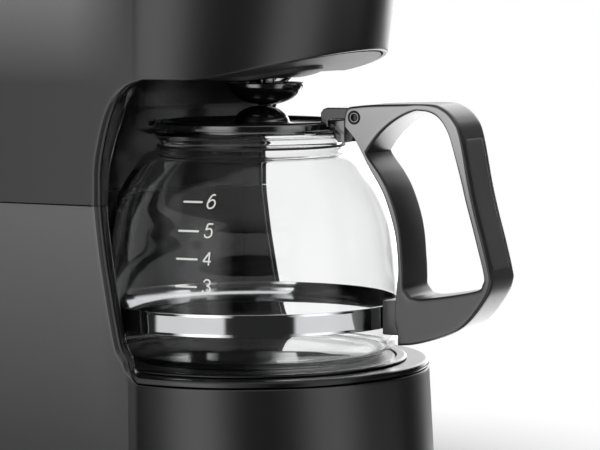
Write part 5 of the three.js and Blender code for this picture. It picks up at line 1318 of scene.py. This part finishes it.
# The CAD nodes themselves wear their slots' finishes
for name, cad in nodes.items():
    cad.data.materials.clear()
    cad.data.materials.append(materials[slotOf[name]])

# Floor and surroundings: where the shadow fades to plain white, and the light cards that gloss sees, as
# bearings from the front with their soft edge in degrees and their strength; the low ones stand in a thin
# strip below the horizon
studio = {"floorRadius": 0.6, "fadeStart": 0.1, "fadeEnd": 0.2, "overhead": 0.7, "ambient": 1, "gap": 0.02,
          "cards": [(-116, -82, 7, 1.5), (-27, 5, 7, 1.15), (83, 112, 3, 3.2),
                    (112, 175, 3, 1.4)],
          "lowCards": [(-137, -81.5, 1.5, 0.68), (-29.5, 47, 1.5, 0.7), (60, 175, 3, 0.12)],
          "strip": (-0.165, -0.085)}


# Round floor: matt near the part, plain white further off where the camera sees it, clear from below
def makeFloor(look):
    turn = fullTurn(96)
    rim = spots(np.cos(turn), np.sin(turn), 0) * look["floorRadius"]
    mesh = bpy.data.meshes.new("floor")
    mesh.from_pydata(rim.tolist(), [], [list(range(len(rim)))])
    floor = placed("floor", mesh)
    material = bpy.data.materials.new("floor")
    finish = Finish(material)
    place = finish.node("ShaderNodeTexCoord").outputs["Object"]
    away = finish.number("ShaderNodeVectorMath", {0: place}, {"operation": "LENGTH"}, "Value")
    matt = finish.node("ShaderNodeBsdfDiffuse", {"Color": grey(0.9)})
    white = finish.node("ShaderNodeEmission", {"Color": grey(1)})
    rays = finish.node("ShaderNodeLightPath").outputs
    seen = Number(finish, rays["Is Camera Ray"]) + rays["Is Transmission Ray"]
    below = finish.node("ShaderNodeNewGeometry").outputs["Backfacing"]
    clear = finish.node("ShaderNodeBsdfTransparent")
    shown = matt
    for factor, other in ((away.above(look["fadeStart"], look["fadeEnd"]) * seen, white), (below, clear)):
        shown = finish.node("ShaderNodeMixShader", {"Fac": factor, 1: shown, 2: other})
    finish.node("ShaderNodeOutputMaterial", {"Surface": shown})
    mesh.materials.append(material)
    floor.visible_glossy = False


# Light by direction: cards between bearings and an even sky above for gloss, plain white for the rest
def makeWorld(look):
    world = bpy.data.worlds.new("studio")
    bpy.context.scene.world = world
    finish = Finish(world)
    x, y, z = finish.parts(finish.node("ShaderNodeTexCoord").outputs["Generated"])
    bearing = x.math("ARCTAN2", x, y * -1) * (180 / pi)
    cards, lowCards = (sum(bearing.between(low, high, edge) * level for low, high, edge, level in look[kind])
                       for kind in ("cards", "lowCards"))
    high = z.above(0.35, 0.6)
    strip = z.between(*look["strip"], 0.008)
    gloss = (cards * (1 - strip) + lowCards * strip) * (1 - high) + high * look["overhead"] + look["gap"]
    isGloss = finish.number("ShaderNodeLightPath", output="Glossy Depth").above(0, 1)
    level = isGloss * gloss + (1 - isGloss) * look["ambient"]
    background = finish.node("ShaderNodeBackground", {"Color": grey(1), "Strength": level})
    finish.node("ShaderNodeOutputWorld", {"Surface": background})


makeFloor(studio)
makeWorld(studio)
print("studio ready")
